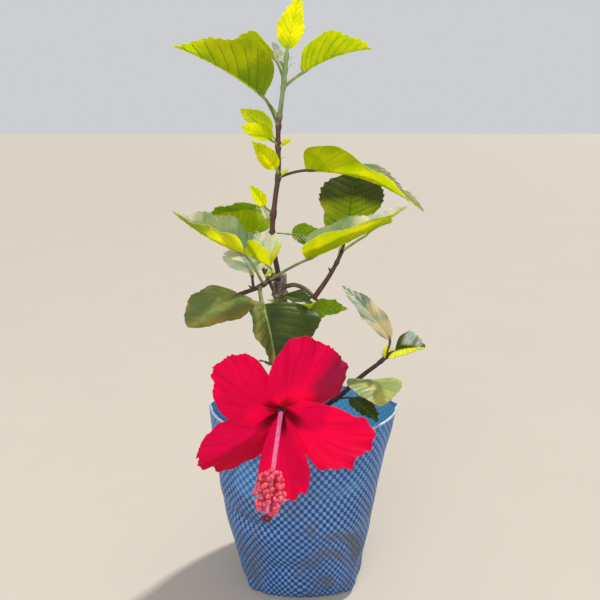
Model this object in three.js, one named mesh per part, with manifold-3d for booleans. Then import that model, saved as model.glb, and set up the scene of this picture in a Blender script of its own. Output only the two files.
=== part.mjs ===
import * as THREE from "three";
import { mergeVertices } from "three/addons/utils/BufferGeometryUtils.js";
import Module from "manifold-3d";

// A young hibiscus in a woven grow bag, in millimetres, with +Z up and the viewer's side at -Y.
// The origin is the centre of the bag's flat underside.

// Driving dimensions

const GAP = 0.3; // between pieces that touch

const BAG = {
  wall: 1.8,
  toe: 4, // how far the inside of the floor's edge is drawn in
  hemHeight: 156,
  sides: 36,
  // height, half width, half depth towards the viewer, half depth behind, squareness, shift along X
  levels: [
    [0, 50, 47, 46, 3.0, 0.5],
    [5, 52.4, 50.5, 49, 2.8, 0.7],
    [27, 57.8, 56, 55, 2.4, 0],
    [60, 64.2, 62, 60, 2.3, -1.4],
    [90, 69, 65, 61, 2.2, -1.8],
    [124, 74.2, 64, 57, 2.0, 0],
    [156, 79, 60, 50, 1.8, 2.2],
  ],
};
const SOIL_TOP = 106;
const TRUNK_TOP = 270;

const TWIG_SIDES = 8;
const SWELLING_SIDES = 10;
const SWELLING_STEPS = 5;
const STALK_SIDES = 5;
const STALK_STEPS = 3;
const STALK_RADII = [1.1, 0.9];
const STALK_UNDER = 0.08; // share of the blade that the stalk runs under
const STALK_LEAD = 0.12; // share of the blade's length that the stalk is in line with before it
const BLADE_THICKNESS = 1.5;
const BLADE_RINGS = 8;
const LEAF_SIDES = 4;
const PETAL_SIDES = 8;

// Where a leaf blade is widest, and how round its foot and long its point are
const LEAF_FOOT = 0.55;
const LEAF_POINT = 1.15;
const PETAL_FOOT = 1.15;
const PETAL_POINT = 0.36;

const COLOURS = {
  bag: 0x3f7fc4,
  soil: 0x5b4635,
  bark: 0x6d5f55,
  greenBark: 0x6f8a5a,
  redBark: 0x5a3b33,
  youngLeaf: 0xc2cc17,
  leaf: 0x86a81c,
  oldLeaf: 0x3f6a2c,
  petal: 0xe8103c,
  column: 0xe0405a,
};

// Limbs: the line that each one follows, and its radius at the foot and at the tip. The trunk's waist is
// the radius that it would have at the soil without its flare, which takes up a share of its length.

const LIMBS = {
  trunk: {
    radii: [8.6, 5.3],
    waist: 6.6,
    flare: 0.16,
    sides: 12,
    steps: 9,
    colour: COLOURS.bark,
    path: [
      [-8, 3, SOIL_TOP + GAP],
      [-8, 3, 114],
      [-10, 2, 134],
      [-13.5, 1, 175],
      [-16.5, 0, 225],
      [-17, 0, TRUNK_TOP],
    ],
  },
  leader: {
    radii: [2.2, 1.8],
    steps: 16,
    grows: "trunk",
    colour: COLOURS.greenBark,
    path: [
      [-17.5, 0.5, 264],
      [-22.6, -1.5, 300],
      [-20, -2, 330],
      [-17.5, -1, 348],
      [-17.2, 0, 380],
      [-13, 0, 413],
      [-10.3, 0, 436],
    ],
  },
  bough_left: {
    radii: [2, 1.5],
    steps: 8,
    grows: "trunk",
    colour: COLOURS.redBark,
    path: [
      [-17, -2, 266],
      [-22, -14, 270],
      [-30.7, -28, 267],
      [-43, -38.5, 264.4],
    ],
  },
  twig_left: {
    radii: [1.2, 0.9],
    steps: 4,
    grows: "bough_left",
    colour: COLOURS.redBark,
    path: [
      [-35.5, -32.5, 266],
      [-36.4, -30, 270],
      [-37, -26, 275],
    ],
  },
  bough_right: {
    radii: [1.8, 1.6],
    steps: 8,
    grows: "trunk",
    colour: COLOURS.greenBark,
    path: [
      [-15.5, -2, 259],
      [-5, -12, 263.8],
      [5, -21, 261.5],
      [9.8, -26.5, 256.8],
    ],
  },
  bough_right_upright: {
    radii: [2, 1.2],
    steps: 8,
    grows: "bough_right",
    colour: COLOURS.redBark,
    path: [
      [9.4, -26, 257],
      [14.5, -25, 264],
      [21.4, -20, 273],
      [31, -9, 288.6],
      [34, -3, 299],
    ],
  },
  bough_low_right: {
    radii: [2.6, 1.5],
    steps: 10,
    grows: "trunk",
    colour: COLOURS.redBark,
    path: [
      [-10.5, 1, 136],
      [8, -6, 149],
      [32.6, -10, 169],
      [51.3, -10, 187.4],
      [62, -10, 196.2],
      [73, -10, 206.6],
    ],
  },
  bough_back: {
    radii: [2.1, 1.3],
    steps: 8,
    grows: "trunk",
    colour: COLOURS.bark,
    path: [
      [-16.4, 1, 240],
      [-23, 15, 253],
      [-33, 34, 268],
      [-40, 52, 286],
    ],
  },
};

// Leaves: the limb and the share along it where the stalk grows, the point where the blade begins, and
// the blade's length, width, heading and rise. It bends down by droop on its way to the tip. Each half is
// folded up by fold, and the blade is rolled about its midrib by roll at the foot and twist more at the tip.

const LEAVES = {
  leaf_top: {
    limb: "leader", at: 0.97, foot: [-10.4, -0.5, 436.4], colour: COLOURS.youngLeaf,
    blade: { length: 37, width: 20, heading: -17, rise: 77, droop: 6, roll: 85, twist: 0, fold: 12 },
  },
  leaf_upper_right: {
    limb: "leader", at: 0.85, foot: [1.2, 6, 421.5], colour: COLOURS.youngLeaf,
    blade: { length: 59, width: 38, heading: 19, rise: 32, droop: 28, roll: -22, twist: 6, fold: 48 },
  },
  leaf_upper_left: {
    limb: "leader", at: 0.69, foot: [-27.3, -10, 403.6], colour: COLOURS.youngLeaf,
    blade: { length: 71, width: 54, heading: -157, rise: 36, droop: 20, roll: 24, twist: 0, fold: 46 },
  },
  leaf_upper_left_back: {
    limb: "leader", at: 0.88, foot: [-19.4, 8, 431], colour: COLOURS.youngLeaf,
    blade: { length: 44, width: 34, heading: 137, rise: 24, droop: 28, roll: 20, twist: 0, fold: 30 },
  },
  leaf_young_left: {
    limb: "leader", at: 0.62, foot: [-23.3, 8, 378], colour: COLOURS.youngLeaf,
    blade: { length: 33, width: 17, heading: 150, rise: 38, droop: 12, roll: -40, twist: 0, fold: 20 },
  },
  leaf_young_left_front: {
    limb: "leader", at: 0.615, foot: [-22, -5, 373], colour: COLOURS.youngLeaf,
    blade: { length: 26, width: 17, heading: -154, rise: 28, droop: 12, roll: 40, twist: 0, fold: 20 },
  },
  leaf_young_middle: {
    limb: "leader", at: 0.485, foot: [-18.4, -9, 352], colour: COLOURS.youngLeaf,
    blade: { length: 33, width: 18, heading: -132, rise: 46, droop: 12, roll: 50, twist: 0, fold: 25 },
  },
  leaf_long_right: {
    limb: "leader", at: 0.475, foot: [3.3, -10, 351.7], colour: COLOURS.leaf,
    blade: { length: 95, width: 50, heading: -20, rise: 4, droop: 42, roll: -6, twist: 30, fold: 56 },
  },
  leaf_round_right: {
    limb: "bough_right_upright", at: 0.97, foot: [37.4, 2, 309], colour: COLOURS.oldLeaf,
    blade: { length: 44, width: 50, heading: 77, rise: 64, droop: 12, roll: 0, twist: 0, fold: 6 },
  },
  leaf_lower_right: {
    limb: "bough_left", at: 0.44, foot: [4, -24, 286.7], colour: COLOURS.leaf,
    blade: { length: 85, width: 38, heading: -16, rise: 22, droop: -16, roll: 12, twist: 12, fold: 58 },
  },
  leaf_small_right: {
    limb: "leader", at: 0.23, foot: [-7.7, 6, 300.9], colour: COLOURS.leaf,
    blade: { length: 30, width: 19, heading: 8, rise: -4, droop: 16, roll: 48, twist: 0, fold: 12 },
  },
  leaf_behind_right: {
    limb: "bough_right_upright", at: 0.8, foot: [50.8, 4, 300.3], colour: COLOURS.leaf,
    blade: { length: 43, width: 26, heading: 54, rise: 16, droop: 20, roll: -20, twist: 0, fold: 20 },
  },
  leaf_middle_left: {
    limb: "leader", at: 0.305, foot: [-36.2, 8, 320], colour: COLOURS.leaf,
    blade: { length: 44, width: 44, heading: 175, rise: 0, droop: 24, roll: 47, twist: 0, fold: -22 },
  },
  leaf_narrow_left: {
    limb: "leader", at: 0.315, foot: [-27.7, -6, 323.7], colour: COLOURS.youngLeaf,
    blade: { length: 22, width: 9, heading: -134, rise: 54, droop: 8, roll: 50, twist: 0, fold: 20 },
  },
  leaf_left: {
    limb: "bough_left", at: 0.58, foot: [-42.7, -28.5, 291.8], colour: COLOURS.youngLeaf,
    blade: { length: 62, width: 42, heading: 176, rise: 19, droop: -24, roll: -14, twist: 0, fold: 52 },
  },
  leaf_left_front: {
    limb: "bough_left", at: 0.3, foot: [-24.2, -18.5, 280], colour: COLOURS.youngLeaf,
    blade: { length: 42, width: 46, heading: 160, rise: 26, droop: 12, roll: 0, twist: 0, fold: 50 },
  },
  leaf_left_pale: {
    limb: "twig_left", at: 0.95, foot: [-38, -24, 276], colour: COLOURS.oldLeaf,
    blade: { length: 46, width: 34, heading: 112, rise: 22, droop: 16, roll: 0, twist: 0, fold: 10 },
  },
  leaf_drooping_left: {
    limb: "bough_left", at: 0.985, foot: [-45.6, -41, 264.2], colour: COLOURS.oldLeaf,
    blade: { length: 51, width: 44, heading: -131, rise: -2, droop: 26, roll: -6, twist: 0, fold: 14 },
  },
  leaf_hanging_front: {
    limb: "bough_left", at: 0.68, foot: [-29, -40, 256.3], colour: COLOURS.oldLeaf,
    blade: { length: 50, width: 76, heading: -66, rise: -46, droop: 20, roll: -22, twist: 0, fold: 28 },
  },
  leaf_front_right: {
    limb: "trunk", at: 0.9, foot: [-14.4, -11, 254], colour: COLOURS.oldLeaf,
    blade: { length: 34, width: 20, heading: -50, rise: 10, droop: 14, roll: 10, twist: 0, fold: 14 },
  },
  leaf_small_front_right: {
    limb: "trunk", at: 0.82, foot: [6.1, -14, 242.3], colour: COLOURS.leaf,
    blade: { length: 34, width: 20, heading: -29, rise: 18, droop: 12, roll: 34, twist: 0, fold: 10 },
  },
  leaf_grey_right: {
    limb: "bough_low_right", at: 0.9, foot: [72.6, -3, 215.6], colour: COLOURS.oldLeaf,
    blade: { length: 63, width: 24, heading: 137, rise: 44, droop: 18, roll: -10, twist: 0, fold: 10 },
  },
  leaf_glossy_right: {
    limb: "bough_low_right", at: 0.985, foot: [75.5, -13, 209], colour: COLOURS.oldLeaf,
    blade: { length: 33, width: 28, heading: -52, rise: 28, droop: 12, roll: 35, twist: 0, fold: 18 },
  },
  leaf_heart_right: {
    limb: "bough_low_right", at: 0.66, foot: [57.6, -14, 184], colour: COLOURS.leaf,
    blade: { length: 38, width: 46, heading: -86, rise: 4, droop: 24, roll: 0, twist: 0, fold: 4 },
  },
  leaf_low_right: {
    limb: "bough_low_right", at: 0.45, foot: [42.1, -20, 171], colour: COLOURS.oldLeaf,
    blade: { length: 31, width: 20, heading: -54, rise: -10, droop: 14, roll: 0, twist: 0, fold: 8 },
  },
  leaf_back_low_left: {
    limb: "trunk", at: 0.4, foot: [-19, 17, 183], colour: COLOURS.leaf,
    blade: { length: 48, width: 32, heading: 98, rise: -14, droop: 16, roll: 0, twist: 0, fold: 18 },
  },
  leaf_back_low_right: {
    limb: "trunk", at: 0.44, foot: [-5, 16, 188], colour: COLOURS.leaf,
    blade: { length: 60, width: 40, heading: 52, rise: -2, droop: 20, roll: 0, twist: 0, fold: 18 },
  },
  leaf_back: {
    limb: "trunk", at: 0.72, foot: [-14, 20, 234], colour: COLOURS.leaf,
    blade: { length: 74, width: 46, heading: 74, rise: -8, droop: 36, roll: 0, twist: 0, fold: 16 },
  },
  leaf_back_right: {
    limb: "bough_right_upright", at: 0.62, foot: [34, 16, 296], colour: COLOURS.leaf,
    blade: { length: 60, width: 40, heading: 70, rise: 48, droop: 18, roll: 0, twist: 0, fold: 14 },
  },
  leaf_back_top: {
    limb: "leader", at: 0.73, foot: [-33, 16, 411], colour: COLOURS.youngLeaf,
    blade: { length: 60, width: 34, heading: 125, rise: 34, droop: 26, roll: 0, twist: 0, fold: 18 },
  },
  leaf_back_left: {
    limb: "bough_back", at: 0.9, foot: [-47, 52, 284], colour: COLOURS.leaf,
    blade: { length: 64, width: 42, heading: 136, rise: 18, droop: 24, roll: 0, twist: 0, fold: 16 },
  },
  leaf_back_upright: {
    limb: "bough_back", at: 0.98, foot: [-38.5, 60, 292], colour: COLOURS.leaf,
    blade: { length: 54, width: 36, heading: 104, rise: 34, droop: 22, roll: 0, twist: 0, fold: 14 },
  },
};

// The bloom: it nods towards the viewer, and its petals are blades about its own axis

const BLOOM = {
  throat: [-14, -82, 192],
  axis: [-0.06, -0.972, -0.225],
  petalThickness: 1.4,
  petals: [
    { length: 57, width: 52, heading: 143, rise: 30, droop: 62, roll: 0, twist: 0, fold: -4 },
    { length: 64, width: 58, heading: 56, rise: 30, droop: 74, roll: 0, twist: 0, fold: -6 },
    { length: 69, width: 62, heading: -28, rise: 34, droop: 52, roll: 0, twist: 0, fold: -4 },
    { length: 70, width: 39, heading: -86.5, rise: 40, droop: 40, roll: 0, twist: 0, fold: -8 },
    { length: 76, width: 45, heading: -145, rise: 34, droop: 50, roll: 0, twist: 0, fold: -24 },
  ],
  tube: { back: 6, front: 7, radii: [3, 6.2] },
  column: { from: 8, to: 76, radii: [2.6, 1.4], bend: 25 },
  anthers: { from: 44, to: 69, radius: 9, blunt: 0.08 },
  calyx: { length: 24, mouth: 2, radii: [4, 7.5, 5] },
  stalk: {
    radius: 1.6,
    path: [
      [-14.6, -2, 218],
      [-14.5, -22, 223],
      [-13, -42, 220],
    ],
  },
};

// Solids

const wasm = await Module();
wasm.setup();

const radians = THREE.MathUtils.degToRad;
const vector = (p) => new THREE.Vector3(...p);

function welded(geometry) {
  geometry.deleteAttribute("normal");
  geometry.deleteAttribute("uv");
  return mergeVertices(geometry, 1e-3);
}

function toSolid(geometry) {
  const mesh = welded(geometry);
  const solid = new wasm.Manifold(new wasm.Mesh({
    numProp: 3,
    vertProperties: new Float32Array(mesh.attributes.position.array),
    triVerts: new Uint32Array(mesh.index.array),
  }));
  if (solid.volume() > 0) return solid;
  throw new Error("a solid is inside out");
}

function toGeometry(solid) {
  const mesh = solid.getMesh();
  const geometry = new THREE.BufferGeometry();
  geometry.setAttribute("position", new THREE.BufferAttribute(new Float32Array(mesh.vertProperties), 3));
  geometry.setIndex(new THREE.BufferAttribute(new Uint32Array(mesh.triVerts), 1));
  geometry.computeVertexNormals();
  return geometry;
}

// What is left of a solid outside another one, without the slivers on its far side
function cutBy(solid, cutter) {
  const pieces = solid.subtract(cutter).decompose();
  return pieces.reduce((most, piece) => (piece.volume() > most.volume() ? piece : most));
}

// A closed tapering limb: a cylinder bent along a curve
function limbSolid(path, radiusAt, sides, steps) {
  const curve = new THREE.CatmullRomCurve3(path.map(vector));
  const frames = curve.computeFrenetFrames(steps);
  const geometry = new THREE.CylinderGeometry(1, 1, 1, sides, steps);
  const at = geometry.attributes.position;
  for (let i = 0; i < at.count; i += 1) {
    const share = at.getY(i) + 0.5;
    const step = Math.round(share * steps);
    const radius = radiusAt(share);
    const point = curve.getPointAt(share)
      .addScaledVector(frames.binormals[step], at.getX(i) * radius)
      .addScaledVector(frames.normals[step], at.getZ(i) * radius);
    at.setXYZ(i, point.x, point.y, point.z);
  }
  return toSolid(geometry);
}

function tapered([foot, tip], extra = 0) {
  return (share) => foot + (tip - foot) * share + extra;
}

function flared([foot, tip], waist, flare, extra = 0) {
  return (share) => {
    const spread = Math.max(0, 1 - share / flare);
    return waist + (tip - waist) * share + (foot - waist) * spread * spread + extra;
  };
}

function limb(name, extra = 0) {
  const { path, radii, waist, flare, sides = TWIG_SIDES, steps } = LIMBS[name];
  const radiusAt = flare ? flared(radii, waist, flare, extra) : tapered(radii, extra);
  return limbSolid(path, radiusAt, sides, steps);
}

function limbPoint(name, share) {
  return new THREE.CatmullRomCurve3(LIMBS[name].path.map(vector)).getPointAt(share);
}

// How wide a blade is along its midrib, as a share of its greatest width
function outline(foot, point) {
  const widest = foot / (foot + point);
  const most = widest ** foot * (1 - widest) ** point;
  return (t) => (t ** foot * (1 - t) ** point) / most;
}

// The midrib's point and the blade's side and face directions at a share t of its length
function bladeFrame({ length, heading, rise, droop, roll, twist }, t) {
  const turn = radians(droop);
  const start = radians(rise);
  const now = start - turn * t;
  const forward = (length * (Math.sin(start) - Math.sin(now))) / turn;
  const up = (length * (Math.cos(now) - Math.cos(start))) / turn;
  const ahead = new THREE.Vector3(Math.cos(radians(heading)), Math.sin(radians(heading)), 0);
  const point = ahead.clone().multiplyScalar(forward).setZ(up);
  const side = new THREE.Vector3(-ahead.y, ahead.x, 0);
  const face = ahead.clone().multiplyScalar(-Math.sin(now)).setZ(Math.cos(now));
  const along = new THREE.Vector3().crossVectors(side, face);
  const angle = radians(roll + twist * t);
  side.applyAxisAngle(along, angle);
  face.applyAxisAngle(along, angle);
  return { point, side, face };
}

// A closed blade, thick at the midrib and thin at its margin: a sphere drawn out to the outline
function bladeSolid(blade, widthAt, thickness, sides) {
  const geometry = new THREE.SphereGeometry(1, sides, BLADE_RINGS);
  const at = geometry.attributes.position;
  const fold = radians(blade.fold);
  for (let i = 0; i < at.count; i += 1) {
    const t = Math.acos(THREE.MathUtils.clamp(at.getY(i), -1, 1)) / Math.PI;
    const ring = Math.hypot(at.getX(i), at.getZ(i));
    const across = ring > 1e-6 ? at.getX(i) / ring : 0;
    const through = ring > 1e-6 ? at.getZ(i) / ring : 0;
    const half = (widthAt(t) * blade.width) / 2;
    const { point, side, face } = bladeFrame(blade, t);
    const thick = (thickness / 2) * Math.min(1, 4 * t + 0.4, 4 * (1 - t) + 0.25);
    const atPole = t < 1e-6 || t > 1 - 1e-6;
    point.addScaledVector(side, half * across * Math.cos(fold));
    point.addScaledVector(face, half * Math.abs(across) * Math.sin(fold));
    if (!atPole) point.addScaledVector(face, thick * through);
    at.setXYZ(i, point.x, point.y, point.z);
  }
  return toSolid(geometry);
}

// A leaf: the stalk swings out of its limb and runs a little way into the blade
function leafSolid({ limb: carrier, at, foot, blade }) {
  const start = limbPoint(carrier, at);
  const inside = bladeFrame(blade, STALK_UNDER).point.add(vector(foot));
  const before = bladeFrame(blade, STALK_LEAD).point.multiplyScalar(-1).add(vector(foot));
  const path = [start.toArray(), before.toArray(), inside.toArray()];
  const stalk = limbSolid(path, tapered(STALK_RADII), STALK_SIDES, STALK_STEPS);
  const leafOutline = outline(LEAF_FOOT, LEAF_POINT);
  const sheet = bladeSolid(blade, leafOutline, BLADE_THICKNESS, LEAF_SIDES).translate(foot);
  return cutBy(stalk.add(sheet), limb(carrier, GAP));
}

// The bag's wall at a height, drawn in by inset from its outer face, at an angle about its middle
function bagPoint(height, angle, inset) {
  const { levels } = BAG;
  const next = Math.max(1, levels.findIndex((level) => level[0] >= height));
  const [below, above] = [levels[next - 1], levels[next]];
  const share = (height - below[0]) / (above[0] - below[0]);
  const [, halfWidth, front, back, squareness, shift] = below.map((v, i) => v + (above[i] - v) * share);
  const halfDepth = Math.sin(angle) < 0 ? front : back;
  const drawn = (value) => Math.sign(value) * Math.abs(value) ** (2 / squareness);
  return [
    shift + (halfWidth - inset) * drawn(Math.cos(angle)),
    (halfDepth - inset) * drawn(Math.sin(angle)),
  ];
}

// The hem isn't level: behind, it stands up on the left and sags on the right
function hemLift(angle) {
  return angle < Math.PI ? Math.sin(angle) * (2 - 8 * Math.cos(angle)) : 1.2 * Math.sin(3 * angle);
}

// A body turned from rings that follow the bag: each ring has a height, an inset and a share of the reach
function bagBody(rings) {
  const profile = rings.map((ring) => new THREE.Vector2(ring.share, ring.height));
  const geometry = new THREE.LatheGeometry(profile, BAG.sides);
  const at = geometry.attributes.position;
  for (let i = 0; i < at.count; i += 1) {
    const ring = rings[i % rings.length];
    const angle = (Math.floor(i / rings.length) / BAG.sides) * 2 * Math.PI;
    const [x, y] = bagPoint(ring.height, angle, ring.inset);
    const lift = ring.height >= BAG.hemHeight ? hemLift(angle) : 0;
    at.setXYZ(i, x * ring.share, y * ring.share, ring.height + lift);
  }
  return toSolid(geometry);
}

function growBag() {
  const heights = BAG.levels.map((level) => level[0]);
  const outside = heights.map((height) => ({ height, inset: 0, share: 1 }));
  const inside = heights.slice(1).reverse().map((height) => ({ height, inset: BAG.wall, share: 1 }));
  return bagBody([
    { height: 0, inset: 0, share: 0 },
    ...outside,
    ...inside,
    { height: BAG.wall, inset: BAG.wall + BAG.toe, share: 1 },
    { height: BAG.wall, inset: 0, share: 0 },
  ]);
}

function pottingSoil() {
  const clear = BAG.wall + GAP;
  const heights = BAG.levels.map((level) => level[0]).filter((height) => height > clear && height < SOIL_TOP);
  return bagBody([
    { height: clear, inset: 0, share: 0 },
    { height: clear, inset: clear + BAG.toe, share: 1 },
    ...heights.map((height) => ({ height, inset: clear, share: 1 })),
    { height: SOIL_TOP, inset: clear, share: 1 },
    { height: SOIL_TOP, inset: 0, share: 0 },
  ]);
}

// Bloom pieces are made about their own axis, with the throat at the origin, and turned into place
const bloomTurn = new THREE.Matrix4();
{
  const axis = vector(BLOOM.axis).normalize();
  const upward = new THREE.Vector3().crossVectors(axis, new THREE.Vector3(1, 0, 0)).normalize();
  const across = new THREE.Vector3().crossVectors(upward, axis);
  bloomTurn.makeBasis(across, upward, axis).setPosition(vector(BLOOM.throat));
}

const inBloom = (solid) => solid.transform(bloomTurn.toArray());

function petals(thickness) {
  const petalOutline = outline(PETAL_FOOT, PETAL_POINT);
  const { back, front, radii } = BLOOM.tube;
  const extra = (thickness - BLOOM.petalThickness) / 2;
  const tube = limbSolid([[0, 0, -back], [0, 0, 0], [0, 0, front]], tapered(radii, extra), TWIG_SIDES, 3);
  return BLOOM.petals
    .map((petal) => bladeSolid(petal, petalOutline, thickness, PETAL_SIDES))
    .reduce((all, petal) => all.add(petal), tube);
}

function column() {
  const { column: shape, anthers } = BLOOM;
  const hang = (reach) => [0, -shape.bend * (reach / shape.to) ** 2, reach];
  const line = ({ from, to }) => [hang(from), hang((from + to) / 2), hang(to)];
  const shaft = limbSolid(line(shape), tapered(shape.radii), TWIG_SIDES, 8);
  const swell = (share) => {
    const round = Math.PI * (anthers.blunt + (1 - 2 * anthers.blunt) * share);
    return anthers.radius * Math.sqrt(Math.sin(round));
  };
  const head = limbSolid(line(anthers), swell, SWELLING_SIDES, SWELLING_STEPS);
  return cutBy(shaft.add(head), petals(BLOOM.petalThickness + 2 * GAP));
}

function calyxAndStalk() {
  const { length, mouth: lip, radii } = BLOOM.calyx;
  const [base, belly, mouth] = radii;
  const swell = (share) => (share < 0.5
    ? base + (belly - base) * Math.sin(Math.PI * share)
    : mouth + (belly - mouth) * Math.sin(Math.PI * share));
  const line = [-length, -length / 2, -lip].map((reach) => [0, 0, reach]);
  const cup = inBloom(limbSolid(line, swell, SWELLING_SIDES, SWELLING_STEPS));
  const end = new THREE.Vector3(0, 0, lip - length).applyMatrix4(bloomTurn);
  const { radius, path } = BLOOM.stalk;
  const stalk = limbSolid([...path, end.toArray()], () => radius, TWIG_SIDES, 8);
  const clear = cutBy(cup.add(stalk), inBloom(petals(BLOOM.petalThickness + 2 * GAP)));
  return cutBy(clear, limb("trunk", GAP));
}

// Assembly

const plant = new THREE.Group();

function place(name, solid, colour, roughness = 0.7) {
  const material = new THREE.MeshStandardMaterial({ color: colour, roughness, metalness: 0 });
  const mesh = new THREE.Mesh(toGeometry(solid), material);
  mesh.name = name;
  plant.add(mesh);
}

place("grow_bag", growBag(), COLOURS.bag, 0.5);
place("potting_soil", pottingSoil(), COLOURS.soil, 0.95);

for (const [name, { grows, colour }] of Object.entries(LIMBS)) {
  const whole = limb(name);
  place(name, grows ? cutBy(whole, limb(grows, GAP)) : whole, colour, 0.8);
}

for (const [name, leaf] of Object.entries(LEAVES)) {
  place(name, leafSolid(leaf), leaf.colour, 0.45);
}

place("bloom_petals", inBloom(petals(BLOOM.petalThickness)), COLOURS.petal, 0.5);
place("bloom_column", inBloom(column()), COLOURS.column, 0.6);
place("bloom_stalk", calyxAndStalk(), COLOURS.greenBark, 0.6);

export default plant;
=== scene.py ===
"""A young hibiscus shrub in its woven grow bag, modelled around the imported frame."""

import math
import random
from bisect import bisect_right
from collections import namedtuple

import bmesh
import bpy
from bpy.props import FloatProperty, FloatVectorProperty, IntProperty, PointerProperty
from mathutils import Matrix, Vector, noise


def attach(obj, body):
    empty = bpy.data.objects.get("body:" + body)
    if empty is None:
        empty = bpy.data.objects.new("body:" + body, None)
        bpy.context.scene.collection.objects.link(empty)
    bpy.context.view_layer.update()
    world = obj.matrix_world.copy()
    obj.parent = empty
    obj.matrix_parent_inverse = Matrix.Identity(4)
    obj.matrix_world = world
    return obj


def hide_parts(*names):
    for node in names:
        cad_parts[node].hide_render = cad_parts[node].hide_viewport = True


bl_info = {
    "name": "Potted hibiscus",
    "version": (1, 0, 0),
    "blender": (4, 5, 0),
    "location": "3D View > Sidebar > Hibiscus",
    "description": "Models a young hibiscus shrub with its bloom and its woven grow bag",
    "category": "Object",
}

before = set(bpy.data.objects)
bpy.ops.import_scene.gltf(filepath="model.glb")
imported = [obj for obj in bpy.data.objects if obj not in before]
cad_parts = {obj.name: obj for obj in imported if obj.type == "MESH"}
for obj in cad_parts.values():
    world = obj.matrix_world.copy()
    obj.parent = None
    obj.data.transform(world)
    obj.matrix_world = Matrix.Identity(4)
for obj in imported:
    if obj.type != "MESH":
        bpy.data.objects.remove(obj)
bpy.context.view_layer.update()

# Tables below are in millimetres and degrees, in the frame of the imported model
MM = 0.001
TAU = 2 * math.pi
WELD = 1e-6

# Limbs: foot and tip radius, the line that each follows, how deep its bark is furrowed, its finish, and for
# a flared foot the radius above the flare and the share of the length that it takes up
Limb = namedtuple("Limb", "radii path furrow finish waist flare", defaults=(None, 0))

LIMBS = {
    "trunk": Limb(
        (8.6, 5.3),
        [(-8, 3, 104), (-8, 3, 114), (-10, 2, 134), (-13.5, 1, 175), (-16.5, 0, 225), (-17, 0, 270)],
        0.5, "grey_bark", waist=6.6, flare=0.16,
    ),
    "leader": Limb(
        (2.2, 1.6),
        [(-17.5, 0.5, 264), (-22.6, -1.5, 300), (-20, -2, 330), (-17.5, -1, 348), (-17.2, 0, 380),
         (-13, 0, 413), (-10.3, 0, 436)],
        0.14, "leader_bark",
    ),
    "bough_left": Limb(
        (2, 1.5),
        [(-17, -2, 266), (-22, -14, 270), (-30.7, -28, 267), (-43, -38.5, 264.4)],
        0.16, "dark_bark",
    ),
    "twig_left": Limb(
        (1.2, 0.9), [(-35.5, -32.5, 266), (-36.4, -30, 270), (-37, -26, 275)], 0.1, "dark_bark",
    ),
    "bough_right": Limb(
        (1.8, 1.6),
        [(-15.5, -2, 259), (-5, -12, 263.8), (5, -21, 261.5), (9.8, -26.5, 256.8)],
        0.14, "olive_bark",
    ),
    "bough_right_upright": Limb(
        (2, 1.2),
        [(9.4, -26, 257), (14.5, -25, 264), (21.4, -20, 273), (31, -9, 288.6), (34, -3, 299)],
        0.14, "red_bark",
    ),
    "bough_low_right": Limb(
        (2.6, 1.5),
        [(-10.5, 1, 136), (8, -6, 149), (32.6, -10, 169), (51.3, -10, 187.4), (62, -10, 196.2),
         (73, -10, 206.6)],
        0.16, "dark_bark",
    ),
    "bough_back": Limb(
        (2.1, 1.3), [(-16.4, 1, 240), (-23, 15, 253), (-33, 34, 268), (-40, 52, 286)], 0.16, "dark_bark",
    ),
}

# Leaves: the limb and the share along it where the stalk grows, where the blade begins, and its shape.
# Each half of a blade is folded up by fold, and the blade rolls about its midrib by roll, and twist more
# at its tip. The last word is the leaf's look.
Blade = namedtuple("Blade", "length width heading rise droop roll twist fold")
Leaf = namedtuple("Leaf", "limb at foot blade look")

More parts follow.
